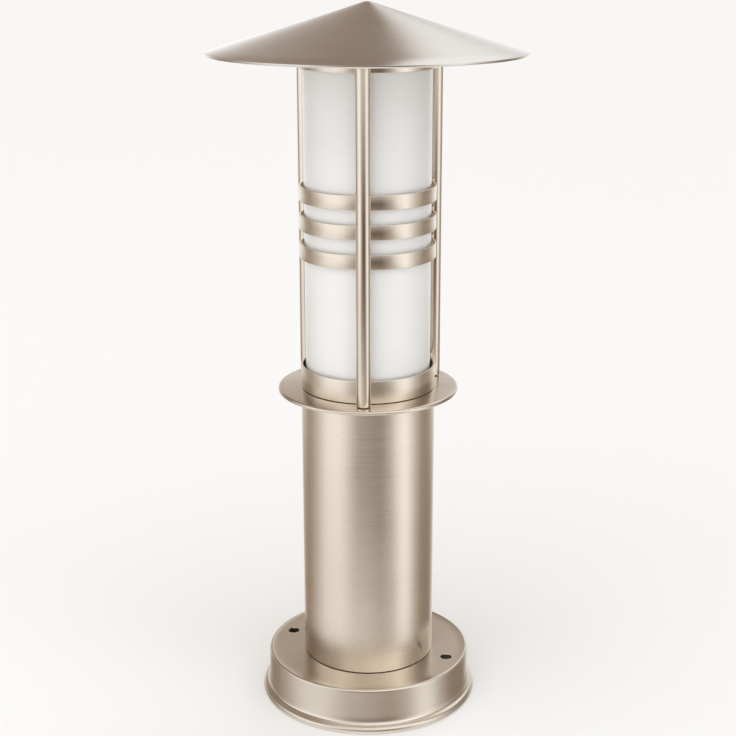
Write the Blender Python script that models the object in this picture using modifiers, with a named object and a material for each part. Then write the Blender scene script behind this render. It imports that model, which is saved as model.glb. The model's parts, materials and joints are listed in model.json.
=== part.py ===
"""Bollard light: a stainless steel pedestal lantern, 400 mm tall on a 76 mm post.

The pedestal is a spun base cup, a post tube and a ledge disc with the lamp holder and its wiring.
The head is a cage of three rods, three bands and two collars under a conical roof, round an opal
cylinder. It lifts off the ledge for a change of bulb, and the bulb screws out of its holder.
The origin is at the centre of the base's underside, with +Z up and one rod at -Y.
"""

import math

import bmesh
import bpy
from mathutils import Matrix, Vector

MM = 0.001
GAP = 0.3 * MM          # left between pieces that touch

LARGE_STEPS = 36        # facets round the post, the base, the roof and the cage's rings
MEDIUM_STEPS = 20       # facets round the lamp holder, the bulb and the grommet
SMALL_STEPS = 12        # facets round screws, ways and small bores
ROD_STEPS = 16

SHEET = 1.2 * MM        # steel sheet and tube wall

# Base cup
BASE_TOP = 25.4 * MM
BASE_RIM_HEIGHT = 0.4 * MM
BASE_RIM_RADIUS = 59.1 * MM
BASE_WALL_RADIUS = 59.35 * MM
BASE_BEAD_RADIUS = 2.1 * MM
BASE_FOOT_RADIUS = 63.15 * MM
FIXING_HOLE_RADIUS = 3.25 * MM
FIXING_HOLE_CIRCLE = 49.0 * MM
FIXING_HOLE_ANGLES = (-17.5, 162.5)

# Post tube and the two flanges inside it
TUBE_RADIUS = 38.0 * MM
FLANGE_WEB = 2.5 * MM
FLANGE_WALL = 1.5 * MM
FLANGE_SKIRT = 14.0 * MM
FOOT_FLANGE_BORE = 27.0 * MM
HEAD_FLANGE_BORE = 21.0 * MM
FOOT_SCREW_CIRCLE = 31.5 * MM

# Ledge disc
LEDGE_TOP = 188.9 * MM
LEDGE_THICKNESS = 2.4 * MM
LEDGE_RADIUS = 51.3 * MM
WIRE_HOLE_RADIUS = 8.0 * MM

# Cage
ROD_RADIUS = 4.0 * MM
ROD_CIRCLE = 42.3 * MM
ROD_ANGLES = (-90.0, 30.0, 150.0)
ROD_BORE_DEPTH = 14.0 * MM
ROD_CHAMFER = 0.6 * MM
RING_RADIUS = 38.0 * MM
BAND_HEIGHT = 8.0 * MM
BAND_CENTRES = {"band_upper": 300.0 * MM, "band_middle": 284.0 * MM, "band_lower": 268.0 * MM}
LOWER_COLLAR_TOP = 202.0 * MM
TOP_COLLAR_BOTTOM = 367.5 * MM

# Roof
ROOF_SHEET = 1.5 * MM
ROOF_TIP = 402.2 * MM   # where the cone's sides would meet
ROOF_SLOPE = math.radians(16.8)
ROOF_RADIUS = 87.4 * MM
ROOF_CROWN_RADIUS = 10.0 * MM
ROOF_PLATE_BOTTOM = 379.5 * MM
ROOF_PLATE_THICKNESS = 1.5 * MM
STUD_RADIUS = 2.85 * MM

# Diffuser and its two gaskets
DIFFUSER_RADIUS = 35.3 * MM
DIFFUSER_WALL = 2.5 * MM
GASKET_RADIUS = 36.4 * MM
SEAT_GASKET_BORE = 31.8 * MM
SEAT_GASKET_THICKNESS = 2.0 * MM
TOP_GASKET_BORE = 32.0 * MM
TOP_GASKET_THICKNESS = 2.5 * MM

# Screws: M4 with pan heads
SCREW_RADIUS = 1.95 * MM
SCREW_HEAD_RADIUS = 3.5 * MM
SCREW_HEAD_HEIGHT = 2.4 * MM
FOOT_SCREW_LENGTH = 7.0 * MM
ROD_FOOT_SCREW_LENGTH = 14.0 * MM
ROD_TOP_SCREW_LENGTH = 12.0 * MM
LEDGE_SCREW_LENGTH = 9.0 * MM
HOLDER_SCREW_LENGTH = 18.0 * MM
TERMINAL_SCREW_LENGTH = 14.5 * MM
CLEARANCE_HOLE = SCREW_RADIUS + 0.35 * MM
TAPPED_HOLE = SCREW_RADIUS + GAP

# Lamp holder on its bracket
BRACKET_SHEET = 1.5 * MM
BRACKET_WIDTH = 16.0 * MM
BRACKET_SPAN = 60.0 * MM
BRACKET_TOP_SPAN = 42.5 * MM
BRACKET_HEIGHT = 8.8 * MM
BRACKET_SCREW_CIRCLE = 26.0 * MM
HOLDER_RADIUS = 20.5 * MM
HOLDER_FOOT_RADIUS = 19.0 * MM
HOLDER_HEIGHT = 44.7 * MM
HOLDER_FLOOR = 14.0 * MM
HOLDER_CAVITY = 14.6 * MM
HOLDER_SCREW_OFFSET = 8.0 * MM
LEAD_HOLE_OFFSET = 5.5 * MM
LEAD_HOLE_DEPTH = 9.0 * MM
SHELL_RADIUS = 14.3 * MM
SHELL_WALL = 0.6 * MM
EARTH_SCREW_CIRCLE = 26.5 * MM
EARTH_SCREW_ANGLE = 135.0
EARTH_TAG_SHEET = 0.8 * MM

# Bulb: a 45 mm globe on an E27 cap
BULB_GLOBE_RADIUS = 22.5 * MM
BULB_GLASS = 0.8 * MM
BULB_NECK_RADIUS = 12.1 * MM
BULB_CAP_RADIUS = 13.1 * MM
BULB_CAP_WALL = 0.6 * MM
BULB_LENGTH = 76.0 * MM

# Wiring
LEAD_RADIUS = 1.1 * MM
GROMMET_Y = -12.0 * MM
GROMMET_HOLE = 9.0 * MM
GROMMET_FLANGE = 11.5 * MM
GROMMET_BORE = 4.0 * MM
GROMMET_FLANGE_THICKNESS = 2.0 * MM
POLE_PITCH = 9.0 * MM
BLOCK_SIZE = (27.0 * MM, 18.0 * MM, 14.0 * MM)
BLOCK_Y = 12.0 * MM
WAY_HEIGHT = 6.0 * MM
WAY_RADIUS = 2.6 * MM
WAY_BORE = 1.5 * MM
WAY_LENGTH = 12.0 * MM
CLAMP_SCREW_RADIUS = 1.3 * MM
CLAMP_SCREW_OFFSET = 3.5 * MM

# Heights that follow from the sizes above
BASE_UNDERSIDE = BASE_TOP - SHEET
TUBE_BOTTOM = BASE_TOP + GAP
LEDGE_BOTTOM = LEDGE_TOP - LEDGE_THICKNESS
TUBE_TOP = LEDGE_BOTTOM - GAP
CAGE_BOTTOM = LEDGE_TOP + GAP
CAGE_TOP = ROOF_PLATE_BOTTOM - GAP
SEAT_BOTTOM = LEDGE_TOP + GAP
BRACKET_TOP = SEAT_BOTTOM + BRACKET_HEIGHT
HOLDER_BOTTOM = BRACKET_TOP + GAP
HOLDER_FLOOR_TOP = HOLDER_BOTTOM + HOLDER_FLOOR
HOLDER_TOP = HOLDER_BOTTOM + HOLDER_HEIGHT
BULB_BOTTOM = HOLDER_FLOOR_TOP + 3.8 * MM
BULB_CAP_TOP = HOLDER_TOP
BULB_CENTRE = BULB_BOTTOM + BULB_LENGTH - BULB_GLOBE_RADIUS
WAY_Z = TUBE_BOTTOM + WAY_HEIGHT

STEEL = ("brushed_steel", (0.60, 0.55, 0.48), 0.32, 1.0)
PLATED = ("zinc_plated_steel", (0.62, 0.62, 0.62), 0.40, 1.0)
SCREW_STEEL = ("screw_steel", (0.55, 0.54, 0.52), 0.30, 1.0)
OPAL = ("opal_acrylic", (0.90, 0.90, 0.88), 0.18, 0.0)
RUBBER = ("black_rubber", (0.03, 0.03, 0.03), 0.70, 0.0)
PORCELAIN = ("porcelain", (0.88, 0.87, 0.83), 0.25, 0.0)
BRASS = ("brass", (0.75, 0.58, 0.28), 0.30, 1.0)
NICKEL = ("nickel_plate", (0.70, 0.68, 0.64), 0.25, 1.0)
OPAL_GLASS = ("bulb_glass", (0.93, 0.93, 0.90), 0.10, 0.0)
BLACK_GLASS = ("insulator_glass", (0.02, 0.02, 0.03), 0.15, 0.0)
POLYAMIDE = ("terminal_plastic", (0.86, 0.85, 0.80), 0.45, 0.0)
BROWN_LEAD = ("lead_brown", (0.22, 0.09, 0.04), 0.45, 0.0)
BLUE_LEAD = ("lead_blue", (0.04, 0.14, 0.50), 0.45, 0.0)
EARTH_LEAD = ("lead_green_yellow", (0.30, 0.50, 0.05), 0.45, 0.0)


# Building tools


def clear_scene():
    for obj in list(bpy.data.objects):
        bpy.data.objects.remove(obj, do_unlink=True)


def new_collection(name):
    collection = bpy.data.collections.new(name)
    bpy.context.scene.collection.children.link(collection)
    return collection


def material(finish):
    """The Principled material of a finish: (name, colour, roughness, metallic)."""
    name, colour, roughness, metallic = finish
    found = bpy.data.materials.get(name)
    if found:
        return found
    made = bpy.data.materials.new(name)
    made.use_nodes = True
    shader = made.node_tree.nodes["Principled BSDF"]
    shader.inputs["Base Color"].default_value = (*colour, 1.0)
    shader.inputs["Roughness"].default_value = roughness
    shader.inputs["Metallic"].default_value = metallic
    made.diffuse_color = (*colour, 1.0)
    return made


def add_piece(name, data, finish, body):
    """One sub-part, riding on its body's empty."""
    piece = bpy.data.objects.new(name, data)
    data.materials.append(material(finish))
    parts.objects.link(piece)
    piece.parent = body
    return piece


def add_body(name, parent=None):
    """The empty that a group of pieces moves with, on its joint's axis."""
    body = bpy.data.objects.new(name, None)
    body.empty_display_size = 0.02
    parts.objects.link(body)
    body.parent = parent
    return body


def polar(radius, degrees):
    angle = math.radians(degrees)
    return radius * math.cos(angle), radius * math.sin(angle)


def arc(centre_x, centre_z, radius, start, end, steps):
    """Profile points on an arc, from one angle to another in degrees."""
    points = []
    for step in range(steps + 1):
        angle = math.radians(start + (end - start) * step / steps)
        points.append((centre_x + radius * math.cos(angle), centre_z + radius * math.sin(angle)))
    return points


def ring(inner, outer, bottom, top):
    """The closed profile of a plain ring."""
    return [(outer, top), (outer, bottom), (inner, bottom), (inner, top)]


def profile_mesh(name, points, closed):
    mesh = bpy.data.meshes.new(name)
    edges = [(i, i + 1) for i in range(len(points) - 1)]
    if closed:
        edges.append((len(points) - 1, 0))
    mesh.from_pydata([(x, 0.0, z) for x, z in points], edges, [])
    return mesh


def turned(name, points, finish, body, steps=LARGE_STEPS, closed=True, wall=None):
    """A turned piece. The profile is a closed loop, or runs from axis to axis, or is a shell's outer face."""
    piece = add_piece(name, profile_mesh(name, points, closed), finish, body)
    screw = piece.modifiers.new("Turn", "SCREW")
    screw.steps = steps
    screw.render_steps = steps
    screw.use_merge_vertices = True
    screw.merge_threshold = 0.01 * MM
    if wall:
        shell = piece.modifiers.new("Wall", "SOLIDIFY")
        shell.thickness = wall
        shell.offset = -1.0
        shell.use_even_offset = True
    return piece


def cylinder_mesh(name, radius, height, steps):
    """A cylinder on Z, standing on its origin."""
    mesh = bpy.data.meshes.new(name)
    shape = bmesh.new()
    bmesh.ops.create_cone(
        shape, cap_ends=True, segments=steps, radius1=radius, radius2=radius, depth=height,
        matrix=Matrix.Translation((0, 0, height / 2)),
    )
    shape.to_mesh(mesh)
    shape.free()
    return mesh


def box_mesh(name, size):
    """A box whose underside is centred on its origin."""
    mesh = bpy.data.meshes.new(name)
    shape = bmesh.new()
    bmesh.ops.create_cube(shape, size=1.0)
    bmesh.ops.scale(shape, vec=size, verts=shape.verts)
    bmesh.ops.translate(shape, vec=(0, 0, size[2] / 2), verts=shape.verts)
    shape.to_mesh(mesh)
    shape.free()
    return mesh


def cut(piece, cutter_mesh, location, rotation=(0, 0, 0)):
    """Take a cutter's shape out of a piece."""
    cutter = bpy.data.objects.new(cutter_mesh.name, cutter_mesh)
    cutter.location = location
    cutter.rotation_euler = rotation
    cutter.hide_render = True
    cutter.display_type = "WIRE"
    cutters.objects.link(cutter)
    boolean = piece.modifiers.new("Cut", "BOOLEAN")
    boolean.operation = "DIFFERENCE"
    boolean.solver = "EXACT"
    boolean.object = cutter


def bore(piece, radius, x, y, bottom, top, steps=SMALL_STEPS):
    """A round hole on Z, from one height to another, turned half a facet to miss the piece's own corners."""
    cutter = cylinder_mesh(f"{piece.name}_bore", radius, top - bottom, steps)
    cut(piece, cutter, (x, y, bottom), (0, 0, math.pi / steps))


def through(piece, radius, x, y, bottom, top, steps=SMALL_STEPS):
    """A round hole on Z that runs past both faces."""
    bore(piece, radius, x, y, bottom - 1 * MM, top + 1 * MM, steps)


def strip(name, path, width, sheet, finish, body):
    """A bent strip of sheet: a path of its middle surface in XZ, drawn out along Y."""
    mesh = bpy.data.meshes.new(name)
    shape = bmesh.new()
    corners = [shape.verts.new((x, -width / 2, z)) for x, z in path]
    edges = [shape.edges.new(pair) for pair in zip(corners, corners[1:])]
    drawn = bmesh.ops.extrude_edge_only(shape, edges=edges)["geom"]
    moved = [item for item in drawn if isinstance(item, bmesh.types.BMVert)]
    bmesh.ops.translate(shape, vec=(0, width, 0), verts=moved)
    bmesh.ops.recalc_face_normals(shape, faces=shape.faces)
    shape.to_mesh(mesh)
    shape.free()
    piece = add_piece(name, mesh, finish, body)
    wall = piece.modifiers.new("Sheet", "SOLIDIFY")
    wall.thickness = sheet
    wall.offset = 0.0
    wall.use_even_offset = True
    return piece


def screw(name, x, y, seat, length, body, head_up=True, radius=SCREW_RADIUS, head=SCREW_HEAD_RADIUS):
    """A pan-head screw whose head bears at the height seat, with its shank on the other side."""
    crown = SCREW_HEAD_HEIGHT * head / SCREW_HEAD_RADIUS
    point = 0.5 * MM
    profile = [
        (0, crown), (0.6 * head, crown), (head, 0.45 * crown), (head, 0), (radius, 0),
        (radius, -length + point), (radius - point, -length), (0, -length),
    ]
    piece = turned(name, profile, SCREW_STEEL, body, SMALL_STEPS, closed=False)
    piece.location = (x, y, seat)
    if not head_up:
        piece.rotation_euler = (math.pi, 0, 0)
    return piece


def smooth_route(points, spacing):
    """Points about this far apart on a Catmull-Rom curve through a route's own points."""
    route = [Vector(point) for point in points]
    route = [2 * route[0] - route[1], *route, 2 * route[-1] - route[-2]]
    found = [route[1]]
    for before, start, end, after in zip(route, route[1:], route[2:], route[3:]):
        steps = max(1, round((end - start).length / spacing))
        for step in range(1, steps + 1):
            t = step / steps
            found.append(0.5 * (
                2 * start + (end - before) * t
                + (2 * before - 5 * start + 4 * end - after) * t**2
                + (3 * start - before - 3 * end + after) * t**3
            ))
    return found


def wire(name, points, radius, finish, body):
    """A round lead along a smooth route."""
    route = smooth_route(points, 6 * radius)
    curve = bpy.data.curves.new(name, "CURVE")
    curve.dimensions = "3D"
    curve.bevel_depth = radius
    curve.bevel_resolution = 2
    curve.use_fill_caps = True
    spline = curve.splines.new("POLY")
    spline.points.add(len(route) - 1)
    for place, point in zip(spline.points, route):
        place.co = (*point, 1.0)
    return add_piece(name, curve, finish, body)


def shade(collection):
    """Fix each piece's modifiers in its mesh, and shade it smooth between its sharp edges."""
    bpy.context.view_layer.update()
    graph = bpy.context.evaluated_depsgraph_get()
    for piece in [obj for obj in collection.objects if obj.type == "MESH"]:
        mesh = bpy.data.meshes.new_from_object(piece.evaluated_get(graph))
        mesh.name = piece.name
        mesh.shade_smooth()
        mesh.set_sharp_from_angle(angle=math.radians(32))
        piece.modifiers.clear()
        piece.data = mesh


# Pedestal


def base_cup(body):
    """A spun cup, open below: a flat top inside a low rounded rim, and a wall with a bead round its foot."""
    rim_roll = 1.3 * MM
    rim_x = BASE_RIM_RADIUS - rim_roll
    rim_z = BASE_TOP + BASE_RIM_HEIGHT - rim_roll
    tube_surround = TUBE_RADIUS + 2 * MM
    bead_x = BASE_FOOT_RADIUS - BASE_BEAD_RADIUS
    standing_radius = BASE_FOOT_RADIUS - 0.3 * MM
    profile = [
        (0, BASE_TOP),
        (tube_surround, BASE_TOP),
        (rim_x - 1.9 * MM, BASE_TOP),
        (rim_x - 0.9 * MM, BASE_TOP + 0.15 * MM),
        *arc(rim_x, rim_z, rim_roll, 105, 0, 3),
        (BASE_WALL_RADIUS, 14.0 * MM),
        (BASE_WALL_RADIUS + 0.35 * MM, 7.5 * MM),
        (BASE_WALL_RADIUS + 0.9 * MM, 5.4 * MM),
        (bead_x, 2 * BASE_BEAD_RADIUS + 0.2 * MM),
        *arc(bead_x, BASE_BEAD_RADIUS, BASE_BEAD_RADIUS, 85, 0, 4),
        (standing_radius, 0.5 * MM),
        (standing_radius, 0),
    ]
    cup = turned("base_cup", profile, STEEL, body, closed=False, wall=SHEET)
    for angle in FIXING_HOLE_ANGLES:
        through(cup, FIXING_HOLE_RADIUS, *polar(FIXING_HOLE_CIRCLE, angle), BASE_UNDERSIDE, BASE_TOP, 16)
    for angle in ROD_ANGLES:
        through(cup, CLEARANCE_HOLE, *polar(FOOT_SCREW_CIRCLE, angle), BASE_UNDERSIDE, BASE_TOP)
    through(cup, GROMMET_HOLE, 0, GROMMET_Y, BASE_UNDERSIDE, BASE_TOP, MEDIUM_STEPS)
    through(cup, CLAMP_SCREW_RADIUS, POLE_PITCH / 2, BLOCK_Y, BASE_UNDERSIDE, BASE_TOP, 8)


def post_tube(body):
    turned("post_tube", ring(TUBE_RADIUS - SHEET, TUBE_RADIUS, TUBE_BOTTOM, TUBE_TOP), STEEL, body)


def flange(name, bore_radius, web_z, outward, body):
    """An angle ring inside the tube: a flat web against the end and a skirt along the wall."""
    outer = TUBE_RADIUS - SHEET - GAP
    web = web_z + outward * FLANGE_WEB
    skirt = web_z + outward * FLANGE_SKIRT
    profile = [
        (outer, web_z), (bore_radius, web_z), (bore_radius, web),
        (outer - FLANGE_WALL, web), (outer - FLANGE_WALL, skirt), (outer, skirt),
    ]
    if outward < 0:
        profile.reverse()
    return turned(name, profile, PLATED, body)


def foot_flange(body):
    """Holds the tube on the base cup with three screws from below."""
    piece = flange("foot_flange", FOOT_FLANGE_BORE, TUBE_BOTTOM, 1, body)
    for number, angle in enumerate(ROD_ANGLES, 1):
        x, y = polar(FOOT_SCREW_CIRCLE, angle)
        through(piece, TAPPED_HOLE, x, y, TUBE_BOTTOM, TUBE_BOTTOM + FLANGE_WEB)
        screw(f"foot_screw_{number}", x, y, BASE_UNDERSIDE - GAP, FOOT_SCREW_LENGTH, body, head_up=False)


def head_flange(body):
    """Carries the ledge disc and the bracket's and the earth's screws."""
    piece = flange("head_flange", HEAD_FLANGE_BORE, TUBE_TOP, -1, body)
    for x, y in ledge_screw_places():
        through(piece, TAPPED_HOLE, x, y, TUBE_TOP - FLANGE_WEB, TUBE_TOP)


def ledge_screw_places():
    """The bracket's two screws and the earth screw."""
    return [
        (BRACKET_SCREW_CIRCLE, 0),
        (-BRACKET_SCREW_CIRCLE, 0),
        polar(EARTH_SCREW_CIRCLE, EARTH_SCREW_ANGLE),
    ]


def ledge_disc(body):
    """The wide disc on the tube's end, with a rounded edge."""
    half = LEDGE_THICKNESS / 2
    edge = arc(LEDGE_RADIUS - half, LEDGE_TOP - half, half, 90, -90, 4)
    profile = [*edge, (WIRE_HOLE_RADIUS, LEDGE_BOTTOM), (WIRE_HOLE_RADIUS, LEDGE_TOP)]
    disc = turned("ledge_disc", profile, STEEL, body)
    rod_places = [polar(ROD_CIRCLE, angle) for angle in ROD_ANGLES]
    for x, y in ledge_screw_places() + rod_places:
        through(disc, CLEARANCE_HOLE, x, y, LEDGE_BOTTOM, LEDGE_TOP)
    for number, (x, y) in enumerate(rod_places, 1):
        screw(f"rod_foot_screw_{number}", x, y, LEDGE_BOTTOM - GAP, ROD_FOOT_SCREW_LENGTH, body,
              head_up=False)


def seat_gasket(body):
    top = SEAT_BOTTOM + SEAT_GASKET_THICKNESS
    turned("seat_gasket", ring(SEAT_GASKET_BORE, GASKET_RADIUS, SEAT_BOTTOM, top), RUBBER, body)


# Wiring


def cable_grommet(body):
    """The supply cable's inlet: a grommet that grips the base cup's top."""
    waist = GROMMET_HOLE - GAP
    top = TUBE_BOTTOM + GROMMET_FLANGE_THICKNESS
    bottom = BASE_UNDERSIDE - GAP - GROMMET_FLANGE_THICKNESS
    profile = [
        (GROMMET_FLANGE - 0.6 * MM, top), (GROMMET_FLANGE, top - 0.6 * MM), (GROMMET_FLANGE, TUBE_BOTTOM),
        (waist, TUBE_BOTTOM), (waist, BASE_UNDERSIDE - GAP), (GROMMET_FLANGE, BASE_UNDERSIDE - GAP),
        (GROMMET_FLANGE, bottom + 0.6 * MM), (GROMMET_FLANGE - 0.6 * MM, bottom),
        (GROMMET_BORE, bottom), (GROMMET_BORE, top),
    ]
    piece = turned("cable_grommet", profile, RUBBER, body, MEDIUM_STEPS)
    piece.location = (0, GROMMET_Y, 0)


def poles():
    """Each pole's name and place across the terminal block."""
    return {"live": -POLE_PITCH, "earth": 0.0, "neutral": POLE_PITCH}


def terminal_block(body):
    """A three-pole block on the base cup's top, with a slot between its poles."""
    width, length, height = BLOCK_SIZE
    block = add_piece("terminal_block", box_mesh("terminal_block", BLOCK_SIZE), POLYAMIDE, body)
    block.location = (0, BLOCK_Y, TUBE_BOTTOM)
    slot_bottom = TUBE_BOTTOM + height - 3 * MM
    slot = (1.6 * MM, length + 2 * MM, 4 * MM)
    for x in (-POLE_PITCH / 2, POLE_PITCH / 2):
        cut(block, box_mesh("terminal_slot", slot), (x, BLOCK_Y, slot_bottom))
    tunnel = cylinder_mesh("terminal_tunnel", WAY_RADIUS + GAP, length + 2 * MM, SMALL_STEPS)
    for x in poles().values():
        cut(block, tunnel.copy(), (x, BLOCK_Y + length / 2 + MM, WAY_Z), (math.pi / 2, 0, 0))
        for y in clamp_places():
            bore(block, CLAMP_SCREW_RADIUS + 0.6 * MM, x, y, WAY_Z, TUBE_BOTTOM + height + MM)
    through(block, CLAMP_SCREW_RADIUS, POLE_PITCH / 2, BLOCK_Y, TUBE_BOTTOM, TUBE_BOTTOM + height, 8)
    head_radius = 1.7 * MM
    bore(block, head_radius + GAP, POLE_PITCH / 2, BLOCK_Y, slot_bottom, TUBE_BOTTOM + height + MM)
    screw("terminal_fixing_screw", POLE_PITCH / 2, BLOCK_Y, slot_bottom + GAP, TERMINAL_SCREW_LENGTH, body,
          radius=1.0 * MM, head=head_radius)


def clamp_places():
    return BLOCK_Y - CLAMP_SCREW_OFFSET, BLOCK_Y + CLAMP_SCREW_OFFSET


def terminal_ways(body):
    """The brass tubes that the leads are clamped in, each with two clamping screws."""
    number = 0
    for pole, x in poles().items():
        name = f"terminal_way_{pole}"
        way = turned(name, ring(WAY_BORE, WAY_RADIUS, -WAY_LENGTH / 2, WAY_LENGTH / 2), BRASS, body,
                     SMALL_STEPS)
        way.location = (x, BLOCK_Y, WAY_Z)
        way.rotation_euler = (math.pi / 2, 0, 0)
        for y in clamp_places():
            number += 1
            bore(way, CLAMP_SCREW_RADIUS + GAP, x, y, WAY_Z, WAY_Z + WAY_RADIUS + MM, 8)
            clamp_screw(f"terminal_clamp_screw_{number}", x, y, body)


def clamp_screw(name, x, y, body):
    """A headless screw whose point stands just clear of the lead."""
    height = 5.0 * MM
    piece = add_piece(name, cylinder_mesh(name, CLAMP_SCREW_RADIUS, height, 8), SCREW_STEEL, body)
    piece.location = (x, y, WAY_Z + LEAD_RADIUS + GAP)


def leads(body):
    """Three leads up the tube: live and neutral into the lamp holder, and the earth to its tag."""
    start_y = BLOCK_Y - CLAMP_SCREW_OFFSET
    exit_y = BLOCK_Y + BLOCK_SIZE[1] / 2
    wall_y = 26.0 * MM
    bend_z = WAY_Z + 12 * MM
    leave_z = 80 * MM           # where the leads begin to leave the tube's wall
    lean_z = 120 * MM
    gather_z = 155 * MM
    entry_z = 178 * MM          # where they are in line with the ledge's wire hole
    lead_top = HOLDER_BOTTOM + LEAD_HOLE_DEPTH - MM
    ends = {
        "live": (0, LEAD_HOLE_OFFSET),
        "neutral": (0, -LEAD_HOLE_OFFSET),
        "earth": (-LEAD_HOLE_OFFSET, 0),
    }
    colours = {"live": BROWN_LEAD, "neutral": BLUE_LEAD, "earth": EARTH_LEAD}
    for pole, x in poles().items():
        end_x, end_y = ends[pole]
        route = [
            (x, start_y, WAY_Z), (x, BLOCK_Y, WAY_Z), (x, exit_y, WAY_Z),
            (x, wall_y - 2 * MM, WAY_Z + 3 * MM), (x, wall_y, bend_z),
            (x, wall_y, leave_z), (0.8 * x, wall_y - 3 * MM, lean_z),
            (0.5 * x + 0.3 * end_x, 0.5 * wall_y + 0.3 * end_y, gather_z),
            (end_x, end_y, entry_z), (end_x, end_y, LEDGE_TOP),
        ]
        if pole == "earth":
            bend_x, bend_y = polar(11 * MM, EARTH_SCREW_ANGLE)
            tail_x, tail_y = polar(EARTH_SCREW_CIRCLE - 10 * MM, EARTH_SCREW_ANGLE)
            tail_end_x, tail_end_y = polar(EARTH_SCREW_CIRCLE - 5.5 * MM, EARTH_SCREW_ANGLE)
            tail_z = SEAT_BOTTOM + EARTH_TAG_SHEET + GAP + LEAD_RADIUS
            route += [
                (bend_x, bend_y, tail_z + 1.2 * MM), (tail_x, tail_y, tail_z),
                (tail_end_x, tail_end_y, tail_z),
            ]
        else:
            route += [(end_x, end_y, HOLDER_BOTTOM), (end_x, end_y, lead_top)]
        wire(f"lead_{pole}", route, LEAD_RADIUS, colours[pole], body)


def earth_tag(body):
    """A flat ring terminal under the earth screw, its tail towards the lead."""
    eye = 4.0 * MM
    tail_half = 1.8 * MM
    tail_length = 10.5 * MM
    curve = bpy.data.curves.new("earth_tag", "CURVE")
    curve.dimensions = "2D"
    curve.fill_mode = "BOTH"
    curve.extrude = EARTH_TAG_SHEET / 2
    neck = math.degrees(math.asin(tail_half / eye))
    outline = arc(0, 0, eye, 180 - neck, -180 + neck, 16)
    outline += [(-tail_length, -tail_half), (-tail_length, tail_half)]
    hole = arc(0, 0, CLEARANCE_HOLE, 0, 360, SMALL_STEPS)[:-1]
    for points in (outline, hole):
        spline = curve.splines.new("POLY")
        spline.points.add(len(points) - 1)
        spline.use_cyclic_u = True
        for place, (x, y) in zip(spline.points, points):
            place.co = (x, y, 0, 1.0)
    x, y = polar(EARTH_SCREW_CIRCLE, EARTH_SCREW_ANGLE)
    tag = add_piece("earth_tag", curve, BRASS, body)
    tag.location = (x, y, SEAT_BOTTOM + EARTH_TAG_SHEET / 2)
    tag.rotation_euler = (0, 0, math.radians(EARTH_SCREW_ANGLE))
    screw("earth_screw", x, y, SEAT_BOTTOM + EARTH_TAG_SHEET + GAP, LEDGE_SCREW_LENGTH, body)


# Lamp holder


def holder_bracket(body):
    """A hat-shaped strap over the ledge's wire hole."""
    half = BRACKET_SHEET / 2
    foot_z = SEAT_BOTTOM + half
    top_z = BRACKET_TOP - half
    path = [
        (-BRACKET_SPAN / 2, foot_z), (-BRACKET_TOP_SPAN / 2, foot_z), (-BRACKET_TOP_SPAN / 2, top_z),
        (BRACKET_TOP_SPAN / 2, top_z), (BRACKET_TOP_SPAN / 2, foot_z), (BRACKET_SPAN / 2, foot_z),
    ]
    bracket = strip("holder_bracket", path, BRACKET_WIDTH, BRACKET_SHEET, PLATED, body)
    foot_top = SEAT_BOTTOM + BRACKET_SHEET
    for number, x in enumerate((BRACKET_SCREW_CIRCLE, -BRACKET_SCREW_CIRCLE), 1):
        through(bracket, CLEARANCE_HOLE, x, 0, SEAT_BOTTOM, foot_top)
        screw(f"bracket_screw_{number}", x, 0, foot_top + GAP, LEDGE_SCREW_LENGTH, body)
    for x in (HOLDER_SCREW_OFFSET, -HOLDER_SCREW_OFFSET):
        through(bracket, TAPPED_HOLE, x, 0, BRACKET_TOP - BRACKET_SHEET, BRACKET_TOP)
    for y in (LEAD_HOLE_OFFSET, -LEAD_HOLE_OFFSET):
        through(bracket, LEAD_RADIUS + 0.5 * MM, 0, y, BRACKET_TOP - BRACKET_SHEET, BRACKET_TOP)


def lamp_holder(body):
    """The porcelain body: a thick floor with a cavity for the screw shell."""
    step_z = HOLDER_BOTTOM + 24 * MM
    profile = [
        (0, HOLDER_FLOOR_TOP), (HOLDER_CAVITY, HOLDER_FLOOR_TOP), (HOLDER_CAVITY, HOLDER_TOP),
        (HOLDER_RADIUS - MM, HOLDER_TOP), (HOLDER_RADIUS, HOLDER_TOP - MM),
        (HOLDER_RADIUS, step_z + 2 * MM), (HOLDER_FOOT_RADIUS, step_z),
        (HOLDER_FOOT_RADIUS, HOLDER_BOTTOM + MM), (HOLDER_FOOT_RADIUS - MM, HOLDER_BOTTOM),
        (0, HOLDER_BOTTOM),
    ]
    holder = turned("lamp_holder", profile, PORCELAIN, body, MEDIUM_STEPS, closed=False)
    for number, x in enumerate((HOLDER_SCREW_OFFSET, -HOLDER_SCREW_OFFSET), 1):
        through(holder, CLEARANCE_HOLE, x, 0, HOLDER_BOTTOM, HOLDER_FLOOR_TOP)
        screw(f"holder_screw_{number}", x, 0, HOLDER_FLOOR_TOP + GAP, HOLDER_SCREW_LENGTH, body,
              head=2.9 * MM)
    for y in (LEAD_HOLE_OFFSET, -LEAD_HOLE_OFFSET):
        hole_top = HOLDER_BOTTOM + LEAD_HOLE_DEPTH
        bore(holder, LEAD_RADIUS + 0.5 * MM, 0, y, HOLDER_BOTTOM - MM, hole_top)


def holder_shell(body):
    """The screw shell that the bulb's cap turns in."""
    bottom = HOLDER_FLOOR_TOP + GAP
    top = HOLDER_TOP - 2 * MM
    inner = SHELL_RADIUS - SHELL_WALL
    lip = 12.0 * MM
    profile = [
        (SHELL_RADIUS, top), (SHELL_RADIUS, bottom), (lip, bottom),
        (lip, bottom + SHELL_WALL), (inner, bottom + SHELL_WALL), (inner, top),
    ]
    turned("holder_shell", profile, NICKEL, body, MEDIUM_STEPS)


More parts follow.
